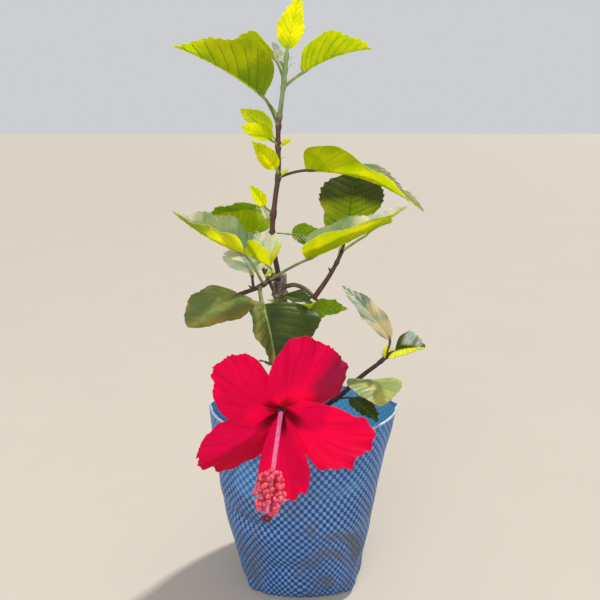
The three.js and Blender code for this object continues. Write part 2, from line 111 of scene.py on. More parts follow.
LEAVES = {
    "leaf_top": Leaf("leader", 0.97, (-10.4, -0.5, 436.4), Blade(37, 20, -17, 77, 6, 85, 0, 12), "top"),
    "leaf_upper_right": Leaf(
        "leader", 0.85, (1.2, 6, 421.5), Blade(59, 38, 19, 32, 28, -22, 6, 48), "young"),
    "leaf_upper_left": Leaf(
        "leader", 0.69, (-27.3, -10, 403.6), Blade(71, 54, -157, 36, 20, 24, 0, 46), "young"),
    "leaf_upper_left_back": Leaf(
        "leader", 0.88, (-19.4, 8, 431), Blade(44, 34, 137, 24, 28, 20, 0, 30), "young"),
    "leaf_young_left": Leaf(
        "leader", 0.62, (-23.3, 8, 378), Blade(33, 17, 150, 38, 12, -40, 0, 20), "small_young"),
    "leaf_young_left_front": Leaf(
        "leader", 0.615, (-22, -5, 373), Blade(26, 17, -154, 28, 12, 40, 0, 20), "small_young"),
    "leaf_young_middle": Leaf(
        "leader", 0.485, (-18.4, -9, 352), Blade(33, 18, -132, 46, 12, 50, 0, 25), "small_young"),
    "leaf_long_right": Leaf(
        "leader", 0.475, (3.3, -10, 351.7), Blade(95, 50, -20, 4, 42, -6, 30, 56), "folded"),
    "leaf_round_right": Leaf(
        "bough_right_upright", 0.97, (37.4, 2, 309), Blade(44, 50, 77, 64, 12, 0, 0, 6), "round"),
    "leaf_lower_right": Leaf(
        "bough_left", 0.44, (4, -24, 286.7), Blade(85, 38, -16, 22, -16, 12, 12, 58), "folded"),
    "leaf_small_right": Leaf(
        "leader", 0.23, (-7.7, 6, 300.9), Blade(30, 19, 8, -4, 16, 48, 0, 12), "mature"),
    "leaf_behind_right": Leaf(
        "bough_right_upright", 0.8, (50.8, 4, 300.3), Blade(43, 26, 54, 16, 20, -20, 0, 20), "mature"),
    "leaf_middle_left": Leaf(
        "leader", 0.305, (-36.2, 8, 320), Blade(44, 44, 175, 0, 24, 47, 0, -22), "shaded"),
    "leaf_narrow_left": Leaf(
        "leader", 0.315, (-27.7, -6, 323.7), Blade(22, 9, -134, 54, 8, 50, 0, 20), "top"),
    "leaf_left": Leaf(
        "bough_left", 0.58, (-42.7, -28.5, 291.8), Blade(62, 42, 176, 19, -24, -14, 0, 52), "folded"),
    "leaf_left_front": Leaf(
        "bough_left", 0.3, (-24.2, -18.5, 280), Blade(42, 46, 160, 26, 12, 0, 0, 50), "folded_pale"),
    "leaf_left_pale": Leaf(
        "twig_left", 0.95, (-38, -24, 276), Blade(46, 34, 112, 22, 16, 0, 0, 10), "pale"),
    "leaf_drooping_left": Leaf(
        "bough_left", 0.985, (-45.6, -41, 264.2), Blade(51, 44, -131, -2, 26, -12, 0, 14), "fading"),
    "leaf_hanging_front": Leaf(
        "bough_left", 0.68, (-29, -40, 256.3), Blade(50, 76, -66, -46, 20, -22, 0, 28), "dark_ribbed"),
    "leaf_front_right": Leaf(
        "trunk", 0.9, (-14.4, -11, 254), Blade(34, 20, -50, 10, 14, 10, 0, 14), "dark"),
    "leaf_small_front_right": Leaf(
        "trunk", 0.82, (6.1, -14, 242.3), Blade(34, 20, -29, 18, 12, 34, 0, 10), "mature"),
    "leaf_grey_right": Leaf(
        "bough_low_right", 0.9, (72.6, -3, 215.6), Blade(63, 24, 137, 44, 18, -10, 0, 10), "grey"),
    "leaf_glossy_right": Leaf(
        "bough_low_right", 0.985, (75.5, -13, 209), Blade(33, 28, -52, 28, 12, 35, 0, 18), "dark"),
    "leaf_heart_right": Leaf(
        "bough_low_right", 0.66, (57.6, -14, 184), Blade(38, 46, -86, 4, 24, 0, 0, 4), "heart"),
    "leaf_low_right": Leaf(
        "bough_low_right", 0.45, (42.1, -20, 171), Blade(31, 20, -54, -10, 14, 0, 0, 8), "dark"),
    "leaf_back_low_left": Leaf("trunk", 0.4, (-19, 17, 183), Blade(48, 32, 98, -14, 16, 0, 0, 18), "dark"),
    "leaf_back_low_right": Leaf("trunk", 0.44, (-5, 16, 188), Blade(60, 40, 52, -2, 20, 0, 0, 18), "dark"),
    "leaf_back": Leaf("trunk", 0.72, (-14, 20, 234), Blade(74, 46, 74, -8, 36, 0, 0, 16), "mature"),
    "leaf_back_right": Leaf(
        "bough_right_upright", 0.62, (34, 16, 296), Blade(60, 40, 70, 48, 18, 0, 0, 14), "mature"),
    "leaf_back_top": Leaf("leader", 0.73, (-33, 16, 411), Blade(60, 34, 125, 34, 26, 0, 0, 18), "young"),
    "leaf_back_left": Leaf(
        "bough_back", 0.9, (-47, 52, 284), Blade(64, 42, 136, 18, 24, 0, 0, 16), "mature"),
    "leaf_back_upright": Leaf(
        "bough_back", 0.98, (-38.5, 60, 292), Blade(54, 36, 104, 34, 22, 0, 0, 14), "mature"),
}

# Leaflets too small for a solid of their own, which grow at the same joints
LEAFLETS = {
    "leaflet_silver": Leaf(
        "leader", 0.93, (-17, -4, 431.6), Blade(10, 8, 155, 72, 14, 60, 0, 14), "silver"),
    "leaflet_silver_low": Leaf(
        "leader", 0.915, (-15.2, -4, 427), Blade(8, 4.4, 160, 58, 14, 60, 0, 14), "silver"),
    "leaflet_pale_right": Leaf(
        "leader", 0.6, (-15.1, -1, 369.5), Blade(9, 4.6, -22, 30, 10, 60, 0, 20), "small_young"),
    "leaflet_narrow_grey": Leaf(
        "leader", 0.32, (-25.8, -3, 314), Blade(13, 4.6, -140, 68, 10, 60, 0, 24), "silver"),
    "leaflet_middle": Leaf(
        "leader", 0.47, (-15, -4, 347), Blade(8, 2.6, -35, 40, 10, 60, 0, 30), "small_young"),
    "leaflet_right_bud": Leaf(
        "bough_low_right", 0.955, (67.9, -11, 202.4), Blade(13, 6.4, -65, 78, 10, 70, 0, 36), "top"),
    "leaflet_joint": Leaf(
        "bough_left", 0.36, (-27.5, -22, 273), Blade(11, 6, -40, 40, 20, 20, 0, 30), "small_young"),
}

ALL_LEAVES = {**LEAVES, **LEAFLETS}

# How a blade departs from its plain outline: how wide its left and right halves are at the foot and at the
# tip, how round its foot and long its point are, how far its lobes reach back past the stalk, and how broad
# its midrib and how tall its teeth are
Trim = namedtuple(
    "Trim", "left right foot point lobe rib teeth", defaults=((1, 1), (1, 1), 0.52, 1.15, 0.0, 1.0, 1.0))

TRIMS = {
    "leaf_top": Trim(foot=0.6, point=1.25),
    "leaf_upper_right": Trim(foot=0.6, point=1.3),
    "leaf_upper_left": Trim(foot=0.5, point=1.35),
    "leaf_upper_left_back": Trim(foot=0.55, point=1.0),
    "leaf_young_left": Trim(foot=0.6, point=1.0, teeth=0.5),
    "leaf_young_left_front": Trim(foot=0.6, point=1.0, teeth=0.5),
    "leaf_young_middle": Trim((0.8, 0.7), (0.95, 0.75), 0.5, 1.2, teeth=0.4),
    "leaf_long_right": Trim((0.15, 1.05), (0.88, 0.88), 0.34, 1.35, 0.03),
    "leaf_round_right": Trim(foot=0.6, point=0.6),
    "leaf_lower_right": Trim((0.95, 0.95), (1.05, 0.95), 0.38, 1.2, 0.02),
    "leaf_middle_left": Trim((0.7, 0.7), (1.0, 1.0), 0.42, 1.0, 0.2),
    "leaf_left": Trim((1.3, 0.6), (1.02, 1.02), 0.45, 1.15),
    "leaf_left_front": Trim((1.15, 0.5), (1.12, 1.0), 0.42, 1.1, 0.06),
    "leaf_drooping_left": Trim((1.4, 1.6), (0.85, 0.8), 0.56, 0.75, teeth=0.4),
    "leaf_hanging_front": Trim((1.0, 1.1), (0.8, 0.8), 0.5, 1.0, 0, 3.2, 0.5),
    "leaf_small_front_right": Trim(teeth=0.6),
    "leaf_grey_right": Trim((1.0, 0.95), (0.9, 0.9), 0.55, 1.0, teeth=0.4),
    "leaf_glossy_right": Trim((1.1, 1.0), (1.0, 1.0), 0.42, 1.1, 0.02),
    "leaf_heart_right": Trim((0.95, 0.95), (0.95, 0.95), 0.34, 0.9, 0.16, 1, 0.4),
}

# How each look is dealt out: the piece that it belongs to, and the finish of its upper and under side, of
# its side veins and midrib above and below, and of its edge. Curl eases the fold towards the margin, and
# ruffle is the height of the margin's waves.
Look = namedtuple("Look", "piece upper under vein_upper vein_under rib_upper rib_under edge curl ruffle")

# In these looks grey is the sky's painted reflection. White, and silver on the folded and pale leaves, are
# painted highlights. Lit, bright and the yellow of undersides are painted light coming through, and dull on
# the fading look is painted shade.
LOOKS = {
    "top": Look("young", "yellow", "yellow", "lime", "lime", "lime", "lime", "pale_yellow", 10, 0.5),
    "young": Look("young", "green", "lime", "lime", "olive_vein", "pale_vein", "lime", "yellow", 24, 1.2),
    "small_young": Look("young", "lime", "yellow", "lime", "lime", "lime", "lime", "yellow", 16, 0.7),
    "folded": Look(
        "young", "grey", "lime", "pale_vein", "olive_vein", "pale_vein", "lime", "white", 6, 1.4),
    "folded_pale": Look(
        "young", "silver", "yellow", "pale_vein", "lime", "pale_vein", "lime", "white", 10, 2.0),
    "silver": Look(
        "green", "silver", "silver", "silver", "silver", "pale_vein", "pale_vein", "silver", 10, 0.4),
    "round": Look(
        "green", "lit", "lit", "dark_vein", "dark_vein", "dark_vein", "dark_vein", "lime", 6, 0.8),
    "mature": Look("green", "green", "lime", "lime", "olive_vein", "pale_vein", "lime", "lime", 16, 1.4),
    "shaded": Look(
        "green", "green", "lit", "dark_vein", "olive_vein", "dark_vein", "lime", "lime", 10, 1.6),
    "heart": Look(
        "green", "heart", "lime", "pale_vein", "olive_vein", "pale_vein", "lime", "heart", 10, 0.8),
    "pale": Look("old", "white", "silver", "grey", "pale_vein", "pale_vein", "pale_vein", "white", 10, 1.0),
    "fading": Look("old", "dull", "olive", "dull", "dull", "dull", "lime", "dull", 14, 1.2),
    "dark": Look("old", "dark", "green", "dark_green", "olive_vein", "green", "lime", "green", 14, 1.0),
    "dark_ribbed": Look(
        "old", "dark", "green", "dark", "pale_vein", "pale_vein", "pale_vein", "green", 14, 1.8),
    "grey": Look(
        "old", "blue_grey", "fawn", "blue_grey", "pale_vein", "pale_vein", "pale_vein", "white", 12, 1.0),
}

# Parts of a blade that wear another finish: the finish, the half (1 is left of the heading, -1 right of it
# and 0 both), the stretch of the length, the share of the half width where it starts, how far it leans to
# the tip towards the margin, the finish of its veins, and whether it is on the underside too
Patch = namedtuple("Patch", "finish half start end out lean vein under", defaults=(0, 0, None, True))

PATCHES = {
    "leaf_top": [Patch("lime", 0, -1, 0.22), Patch("pale_yellow", 0, 0.85, 2)],
    # The upper left leaf: lit is painted light coming through it, and the green at its foot is a painted
    # shadow where a leaf behind it blocks the sun.
    "leaf_upper_left": [
        Patch("lit", 0, -1, 2, 0, 0, "dark_vein"), Patch("green", 1, -1, 0.34, 0, -0.2, "dark_vein"),
        Patch("lime", 0, 0.72, 2)],
    "leaf_upper_right": [Patch("lime", -1, -1, 2, 0, 0, "olive_vein"), Patch("white", 1, -1, 0.2, 0.4)],
    "leaf_upper_left_back": [Patch("lit", 0, -1, 2, 0, 0, "olive_vein")],
    # The long right leaf: bright is painted light coming through its near half, and fawn is a painted
    # highlight on its far half.
    "leaf_long_right": [Patch("bright", -1, 0.22, 2, 0, 0.3, "lime"), Patch("fawn", 1, 0.5, 2, 0.6)],
    "leaf_round_right": [Patch("shade", 0, 0.5, 2, 0, -0.16, "shade_vein")],
    # The lower right leaf: bright is painted light coming through its near half, and white is a painted
    # highlight near the tip of its far half.
    "leaf_lower_right": [Patch("bright", -1, -1, 2, 0, 0, "lime"), Patch("white", 1, 0.54, 0.95, 0.25)],
    # The middle left leaf: green on one half is painted shade.
    "leaf_middle_left": [Patch("green", 1, -1, 2, 0, 0, "dark_vein")],
    # The left leaf: white is a painted highlight near its far half's tip, and bright and yellow are painted
    # light coming through its near half.
    "leaf_left": [
        Patch("white", -1, 0.72, 2, 0.3), Patch("bright", 1, -1, 0.55, 0, 0, "lime"),
        Patch("yellow", 1, -1, 0.45, 0, 0, "yellow")],
    # The left front leaf: bright is painted light coming through it, and grey is the sky's painted reflection
    # on its far half.
    "leaf_left_front": [
        Patch("bright", -1, -1, 0.12), Patch("grey", -1, 0.5, 2), Patch("bright", 1, -1, 2, 0, 0, "lime")],
    "leaf_drooping_left": [Patch("olive", 1, 0.15, 2, 0.6, 0, "olive", under=False)],
    "leaf_hanging_front": [Patch("dull", -1, -1, 2, under=False)],
    "leaf_grey_right": [Patch("fawn", 0, -1, 0.5, 0, 0.1, "fawn", under=False)],
    # The glossy leaf: the silver patches on its dark half are painted highlights.
    "leaf_glossy_right": [
        Patch("pale_yellow", -1, -1, 2, 0, 0, "lime"), Patch("silver", 1, 0.2, 0.55, 0.25, 0.1),
        Patch("silver", 1, 0.68, 0.86)],
    # The small right leaf: deep green on one half is painted shade.
    "leaf_small_right": [Patch("dark_green", -1, -1, 2, 0, 0, "dark_vein")],
}

# The grow bag's outer face: height, half width, half depth in front and behind, squareness, shift along X
BAG_LEVELS = [
    (0, 50, 47, 46, 3.0, 0.5),
    (5, 52.4, 50.5, 49, 2.8, 0.7),
    (27, 57.8, 56, 55, 2.4, 0),
    (60, 64.2, 62, 60, 2.3, -1.4),
    (90, 69, 65, 61, 2.2, -1.8),
    (124, 74.2, 64, 57, 2.0, 0),
    (156, 79, 60, 50, 1.8, 2.2),
]

# The bag's rim, the height where its mesh columns are evenly spaced, its mesh, and the floor's reach
BAG_TOP = 156
BAG_MIDDLE = 100
BAG_COLUMNS = 276
BAG_ROWS = 88
BAG_FLOOR = 50

# The height where the cloth begins to follow the hem, and how far the hem rises and falls
HEM_SWAY_FROM = 118
HEM_SWAY_BACK = 8
HEM_RISE_BACK = 2
HEM_SWAY_FRONT = 1.2

# The cloth's folds: heights of a bulge and a wrinkle, the creases at the sides and the pleats at the foot
BULGE_HEIGHT = 52
WRINKLE_HEIGHT = 20
SIDE_CREASE = 1.7
SIDE_CREASE_SPREAD = 0.07
FOOT_PLEATS = 15
FOOT_PLEAT = 0.9
FOOT_PLEAT_HEIGHT = 9

# The soil's surface, its gap to the wall, and its loose crumbs
SOIL_TOP = 106
SOIL_GAP = 1.2
SOIL_CRUMBS = 520
CRUMB_RADII = (0.5, 1.9)

# Dents and swellings of the bag's wall: angle and its spread in radians, height and its spread, and how far
# the cloth stands out
BAG_DENTS = [
    (3.85, 0.2, 3, 12, 2.2),
    (5.5, 0.2, 3, 12, 2.2),
    (4.0, 0.5, 78, 5, -2.8),
    (4.05, 0.55, 92, 8, 1.6),
    (4.25, 0.35, 66, 6, 1.2),
    (5.35, 0.4, 60, 6, -2.2),
    (5.1, 0.3, 76, 7, 1.3),
    (5.15, 0.3, 106, 6, -1.9),
    (4.6, 0.3, 36, 6, -1.8),
    (4.4, 0.3, 52, 7, 1.4),
    (5.2, 0.3, 30, 6, 1.1),
]

# The bloom nods towards the front. Its petals are blades about its own axis, with the throat at the origin.
BLOOM_THROAT = (-14, -82, 192)
BLOOM_AXIS = (-0.06, -0.972, -0.225)
Petal = namedtuple(
    "Petal", "blade right_fold right_curl left_fold left_curl right left phase finish", defaults=(0,))
# The upper petal wears finish 2, painted shade and a pink sheen on its turned-back part. The low left petal
# wears finish 3, painted shade on one half.
PETALS = [
    Petal(Blade(60, 51, 144, 30, 60, 5, 0, 0), -8, 10, -2, 10, (0.9, 0.4), (0.6, 0.85), 0.2),
    Petal(Blade(64, 58, 56, 30, 74, 5, 0, 0), -18, 30, -2, 10, (0.5, 0.3), (0.6, 0.3), 1.1, 2),
    Petal(Blade(70, 59, -25.5, 34, 52, 5, 0, 0), -2, 14, -6, 24, (1.1, 0.4), (0.5, 0.3), 2.3),
    Petal(Blade(70, 38, -86.5, 40, 40, 4, 0, 0), -2, 16, -16, 20, (0.9, 0.3), (0.8, 0.3), 3.0),
    Petal(Blade(80, 46, -144, 34, 50, 4, 0, 0), -58, 10, -24, 16, (0.8, 0.4), (0.7, 0.45), 4.1, 3),
]

# The column, the stamens on it, the calyx behind the petals and the bloom's stalk
COLUMN_REACH = (4, 73)
COLUMN_RADII = (1.7, 1.2)
COLUMN_BEND = (-3, -23.5)
ANTHER_REACH = (50, 70)
ANTHER_SPREAD = 9.8
GOLDEN_ANGLE = 2.39996
CALYX_LENGTH = 24
CALYX_BRACTS = 7
CALYX_RADII = (4, 7.5, 5)
STALK_RADIUS = 1.5
STALK_PATH = [(-14.6, -2, 218), (-14.5, -22, 223), (-13, -42, 220)]


def screen(red, green, blue):
    """A colour's linear values from its screen values, 0 to 255."""
    parts = [value / 255 for value in (red, green, blue)]
    return tuple(((v + 0.055) / 1.055) ** 2.4 if v > 0.04045 else v / 12.92 for v in parts)


def colour(name, description, red, green, blue):
    """A colour setting with a default given in screen values."""
    return FloatVectorProperty(
        name=name, description=description, default=screen(red, green, blue), min=0, max=1, subtype="COLOR")


def length(name, description, millimetres):
    """A length setting with a default given in millimetres."""
    return FloatProperty(name=name, description=description, default=millimetres * MM, min=0, unit="LENGTH")


# Settings that a user would change


class BagSettings(bpy.types.PropertyGroup):
    """Sizes and colours of the woven grow bag and the soil in it."""

    wall: length("Wall", "Thickness of the woven wall", 0.9)
    tapes_around: IntProperty(
        name="Tapes round", description="Woven tapes round the bag, an even number", default=142, min=2)
    tape: length("Tape", "Width of one woven tape along the height", 3.5)
    hem: length("Hem", "Height of the white hem", 1.3)
    fold: length("Folds", "How far the soft folds of the wall stand out", 1.5)
    light: colour("Light tape", "The pale tapes outside", 134, 184, 234)
    dark: colour("Dark tape", "The deep blue tapes outside", 6, 66, 144)
    # The inside colours are painted brighter than the outside tapes: painted light where the sun comes
    # through the cloth.
    inner: colour("Inside light", "The light check inside", 164, 222, 255)
    inner_dark: colour("Inside dark", "The dark check inside", 10, 124, 226)
    hem_colour: colour("Hem", "The white hem and its threads", 186, 202, 224)
    dirt: colour("Dirt", "Soil splashed on the weave", 112, 108, 104)
    soil: colour("Soil", "The potting soil", 92, 70, 52)
    soil_dark: colour("Damp soil", "The potting soil between its crumbs", 44, 33, 25)


class BarkSettings(bpy.types.PropertyGroup):
    """Colours and relief of the trunk, the leader and the boughs."""

    step: length("Step", "Distance between the rings of a limb's mesh", 0.9)
    collar: FloatProperty(
        name="Collar", description="Swelling of a limb where a leaf's stalk grows", default=0.3, min=0, max=1)
    grey: colour("Grey bark", "The trunk's bark", 152, 138, 124)
    furrow: colour("Furrows", "Between the ridges of the bark", 58, 50, 44)
    red: colour("Red bark", "The young boughs' bark", 104, 52, 42)
    dark: colour("Dark bark", "The low and left boughs' bark", 76, 58, 46)
    olive: colour("Olive bark", "The short right bough's bark", 112, 104, 66)
    green: colour("Green shoot", "The upper part of the leader", 144, 164, 106)


class LeafSettings(bpy.types.PropertyGroup):
    """Sizes and colours of the leaves and their stalks."""

    thickness: length("Blade", "Thickness of a leaf's blade", 0.34)
    rib: length("Midrib", "Half the midrib's width at the foot of a blade", 0.62)
    ridge: length("Ridge", "How far the midrib stands out underneath", 0.7)
    quilt: length("Quilting", "How far a blade bulges between its side veins", 0.75)
    tooth: length("Tooth", "How far a tooth of the margin stands out", 2.1)
    tooth_pitch: length("Tooth pitch", "Length of margin to each tooth", 7.4)
    stalk: length("Stalk", "Radius of a leaf's stalk", 1.15)
    pale_yellow: colour("Pale yellow", "The tips of the youngest leaves", 248, 244, 70)
    yellow: colour("Yellow", "The youngest leaves and the undersides lit through", 238, 230, 2)
    bright: colour("Bright lime", "Young undersides that the sun comes through", 212, 217, 4)
    lime: colour("Lime", "The young leaves", 204, 214, 4)
    lit: colour("Lit green", "A full grown leaf that the sun comes through", 178, 188, 0)
    green: colour("Green", "The full grown leaves", 140, 168, 6)
    dark_green: colour("Deep green", "Full grown leaves in the shade", 116, 134, 16)
    dark: colour("Dark green", "The oldest leaves", 72, 92, 36)
    # Dull green is painted shade on the drooping leaf's upper side. On the hanging leaf it is one paler half.
    dull: colour("Dull green", "The old leaves' paler halves", 128, 140, 72)
    shade: colour("Shade", "The shaded part of the round leaf", 84, 92, 18)
    grey: colour("Grey green", "The upper sides that catch the sky", 152, 170, 126)
    blue_grey: colour("Blue grey", "The oldest leaf's tip", 136, 148, 130)
    # Pale is a painted highlight: the shine on folded margins and on the pale leaf, and patches near the
    # folded leaves' tips.
    white: colour("Pale", "The shining folds along the margins", 224, 226, 212)
    # Silver is the buds' own colour. On the glossy leaf and the pale folded leaf it is a painted highlight.
    silver: colour("Silver", "The buds' leaflets", 214, 222, 216)
    heart: colour("Pale green", "The low heart-shaped leaf", 168, 175, 106)
    olive: colour("Fading", "The old leaf's fading half", 130, 116, 52)
    # Fawn is the old leaf's own colour. On the long right leaf's far half it is a painted highlight.
    fawn: colour("Fawn", "The old leaf's yellowing foot", 188, 180, 142)
    olive_vein: colour("Olive vein", "The veins under the young leaves", 172, 184, 6)
    dark_vein: colour("Dark vein", "The veins of the round leaf", 122, 136, 6)
    shade_vein: colour("Shaded vein", "The veins of the round leaf's shaded part", 60, 66, 16)
    pale_vein: colour("Pale vein", "The midribs and the veins of the old leaves", 176, 190, 112)
    stalk_green: colour("Green stalk", "The young leaves' stalks", 142, 164, 74)
    stalk_red: colour("Red stalk", "The old leaves' stalks", 84, 62, 46)
    stalk_olive: colour("Olive stalk", "The folded leaves' stalks", 132, 134, 84)
    stipule: colour("Stipules", "The narrow pale leaflets at the joints", 206, 226, 176)


class BloomSettings(bpy.types.PropertyGroup):
    """Sizes and colours of the bloom."""

    thickness: length("Petal", "Thickness of a petal", 0.4)
    frill: length("Frill", "Height of the waves along a petal's margin", 2.0)
    notch: length("Notches", "Depth of the notches in a petal's margin", 1.6)
    furrow: length("Veins", "Depth of the furrows along a petal's veins", 0.15)
    anthers: IntProperty(name="Anthers", description="Number of stamens on the column", default=108, min=5)
    petal: colour("Petal", "The open part of a petal", 255, 0, 96)
    vein: colour("Petal vein", "Along a petal's veins", 218, 0, 70)
    # The turned-back colour is painted shade and a pink sheen on the upper petal's outer part.
    turned_back_shade: colour("Turned back", "The upper petal's outer part, turned back", 196, 36, 90)
    # Folded is painted shade on one half of the low left petal.
    folded: colour("Folded", "The low left petal's shaded half", 222, 6, 66)
    throat: colour("Throat", "The foot of a petal", 66, 2, 16)
    column: colour("Column", "The bloom's column", 255, 128, 178)
    anther: colour("Anther", "The stamens' heads", 255, 92, 112)
    filament: colour("Filament", "The stamens' threads", 240, 60, 90)
    stigma: colour("Stigma", "The five pads at the column's end", 120, 10, 28)
    calyx: colour("Calyx", "The green cup behind the petals", 122, 150, 62)


class StageSettings(bpy.types.PropertyGroup):
    """Camera, lights and floor."""

    camera: FloatVectorProperty(
        name="Camera", description="Where the camera stands", default=(-0.001, -0.467, 0.382), unit="LENGTH")
    pitch: FloatProperty(
        name="Pitch", description="How far the camera looks down", default=math.radians(16), unit="ROTATION")
    lens: FloatProperty(name="Lens", description="Focal length in millimetres", default=36.06, min=1)
    floor: colour("Floor", "The plain floor", 180, 172, 162)
    sky: colour("Sky", "Soft light from all round", 236, 238, 242)
    sky_strength: FloatProperty(
        name="Sky strength", description="Strength of the soft light", default=0.72, min=0)
    key: FloatProperty(
        name="Key", description="Strength of the light from behind and above", default=3.6, min=0)
    key_width: FloatProperty(
        name="Key width", description="How wide the key light seems", default=math.radians(5),
        unit="ROTATION")
    fill: FloatProperty(
        name="Fill", description="Power of the light in front", default=8.0, unit="POWER")


SETTINGS = {
    "hibiscus_bag": BagSettings,
    "hibiscus_bark": BarkSettings,
    "hibiscus_leaf": LeafSettings,
    "hibiscus_bloom": BloomSettings,
    "hibiscus_stage": StageSettings,
}


# Lines and frames


def held(value, low=0, high=1):
    """A value kept between two limits."""
    return min(max(value, low), high)


def smooth_between(start, end, leave, arrive, share):
    """A value or point on the cubic curve from start to end with given slopes at both."""
    square, cube = share * share, share ** 3
    return (
        (2 * cube - 3 * square + 1) * start + (cube - 2 * square + share) * leave
        + (3 * square - 2 * cube) * end + (cube - square) * arrive)


def running_lengths(points):
    """How far along a line each of its points lies."""
    reach = [0.0]
    for before, after in zip(points, points[1:]):
        reach.append(reach[-1] + (after - before).length)
    return reach


def level_heading(angle):
    """The level direction at an angle from the X axis."""
    return Vector((math.cos(angle), math.sin(angle), 0))


class Line:
    """A smooth line through a few points, measured along its length."""

    SPLITS = 24

    def __init__(self, points):
        given = [Vector(p) for p in points]
        ends = [2 * given[0] - given[1], *given, 2 * given[-1] - given[-2]]
        self.points = []
        for span in range(len(given) - 1):
            corners = ends[span:span + 4]
            self.points += [self.between(corners, step / self.SPLITS) for step in range(self.SPLITS)]
        self.points.append(given[-1])
        self.reach = running_lengths(self.points)
        self.length = self.reach[-1]

    @staticmethod
    def between(corners, share):
        """A point between the middle two of four corners, on a centripetal curve."""
        a, b, c, d = corners
        first, middle, last = (max((q - p).length ** 0.5, 1e-4) for p, q in ((a, b), (b, c), (c, d)))
        leave = ((b - a) / first - (c - a) / (first + middle) + (c - b) / middle) * middle
        arrive = ((c - b) / middle - (d - b) / (middle + last) + (d - c) / last) * middle
        return smooth_between(b, c, leave, arrive, share)

    def at(self, share):
        """The point at a share of the line's length."""
        wanted = held(share) * self.length
        after = held(bisect_right(self.reach, wanted), 1, len(self.points) - 1)
        gap = self.reach[after] - self.reach[after - 1]
        part = (wanted - self.reach[after - 1]) / gap if gap else 0
        return self.points[after - 1].lerp(self.points[after], part)

    def heading(self, share):
        """The direction of the line at a share of its length."""
        return (self.at(share + 0.01) - self.at(share - 0.01)).normalized()

    def frames(self, steps):
        """A point and two directions across the line at each step, without any twist."""
        across = self.heading(0).orthogonal().normalized()
        found = []
        for step in range(steps + 1):
            share = step / steps
            ahead = self.heading(share)
            across = (across - ahead * across.dot(ahead)).normalized()
            found.append((self.at(share), across, ahead.cross(across)))
        return found


def blade_frame(blade, share):
    """The midrib's point and the blade's side and face directions at a share of its length."""
    turn = math.radians(blade.droop)
    start = math.radians(blade.rise)
    now = start - turn * share
    ahead = level_heading(math.radians(blade.heading))
    forward = blade.length * (math.sin(start) - math.sin(now)) / turn
    up = blade.length * (math.cos(now) - math.cos(start)) / turn
    point = ahead * forward + Vector((0, 0, up))
    side = Vector((-ahead.y, ahead.x, 0))
    face = Vector((0, 0, math.cos(now))) - ahead * math.sin(now)
    roll = Matrix.Rotation(math.radians(blade.roll + blade.twist * share), 3, side.cross(face))
    return point, roll @ side, roll @ face


def half_section(fold, curl, share):
    """How far out and up a half blade lies at a share of its width, on an arc that eases by curl."""
    start = math.radians(fold + curl / 2)
    if abs(curl) < 0.5:
        return share * math.cos(start), share * math.sin(start)
    bend = -math.radians(curl)
    end = start + bend * share
    return (math.sin(end) - math.sin(start)) / bend, (math.cos(start) - math.cos(end)) / bend


def outline(foot, point):
    """How wide a blade is at a share of its length, as a share of its greatest width."""
    widest = foot / (foot + point)
    most = widest ** foot * (1 - widest) ** point
    return lambda share: (max(share, 0) ** foot * max(1 - share, 0) ** point) / most


def wave(x, y=0.0, z=0.0):
    """Smooth noise between about -1 and 1."""
    return noise.noise(Vector((x, y, z)))


# Mesh helpers


def new_mesh():
    """An empty mesh to model in, with a UV map."""
    bm = bmesh.new()
    bm.loops.layers.uv.new("UVMap")
    return bm


def grid(bm, rows, columns, place):
    """A sheet of rows by columns faces, whose corners go where place(row, column) says."""
    made = bmesh.ops.create_grid(bm, x_segments=columns, y_segments=rows, size=1.0, calc_uvs=True)
    for number, corner in enumerate(made["verts"]):
        row, column = divmod(number, columns + 1)
        corner.co = place(row, column) * MM
    return made["verts"]


def weld(bm, corners):
    """Joins corners that lie on each other, such as a seam or a pole."""
    bmesh.ops.remove_doubles(bm, verts=corners, dist=WELD)


def paint(bm, before, finish):
    """Gives a finish to the faces made since there were only so many."""
    bm.faces.ensure_lookup_table()
    for face in bm.faces[before:]:
        face.material_index = finish


def tube(bm, line, rings, sides, radius, finish=0):
    """A closed tube along a line. radius(share, angle) lets it taper and swell."""
    frames = line.frames(rings)

    def place(row, column):
        ring = held(row - 1, 0, rings)
        point, across, over = frames[ring]
        if row in (0, rings + 2):
            return point
        angle = TAU * column / sides
        reach = radius(ring / rings, angle)
        return point + (across * math.cos(angle) + over * math.sin(angle)) * reach

    before = len(bm.faces)
    weld(bm, grid(bm, rings + 2, sides, place))
    paint(bm, before, finish)


def pip(bm, place, segments, rings, finish):
    """A small closed round body: a sphere of one millimetre that place, a matrix, shapes and moves."""
    before = len(bm.faces)
    bmesh.ops.create_uvsphere(
        bm, u_segments=segments, v_segments=rings, radius=1.0, matrix=Matrix.Scale(MM, 4) @ place)
    paint(bm, before, finish)


def thicken(bm, thickness):
    """Gives a sheet another side, under its faces, and returns the new side's faces and those of the edge."""
    drop = bm.verts.layers.float.get("drop")
    bm.normal_update()
    down = bm.verts.layers.float_vector.new("down")
    for corner in bm.verts:
        corner[down] = corner.normal
    upper = set(bm.faces)
    made = bmesh.ops.extrude_face_region(bm, geom=list(bm.faces), use_keep_orig=True)["geom"]
    for corner in (part for part in made if isinstance(part, bmesh.types.BMVert)):
        extra = corner[drop] if drop else 0
        corner.co -= Vector(corner[down]) * (thickness + extra)
    under = {part for part in made if isinstance(part, bmesh.types.BMFace)}
    return under, set(bm.faces) - upper - under


def merge(joined, bm, name):
    """Adds a mesh that was modelled apart to a joined one."""
    mesh = bpy.data.meshes.new(name)
    bm.to_mesh(mesh)
    bm.free()
    joined.from_mesh(mesh)
    bpy.data.meshes.remove(mesh)


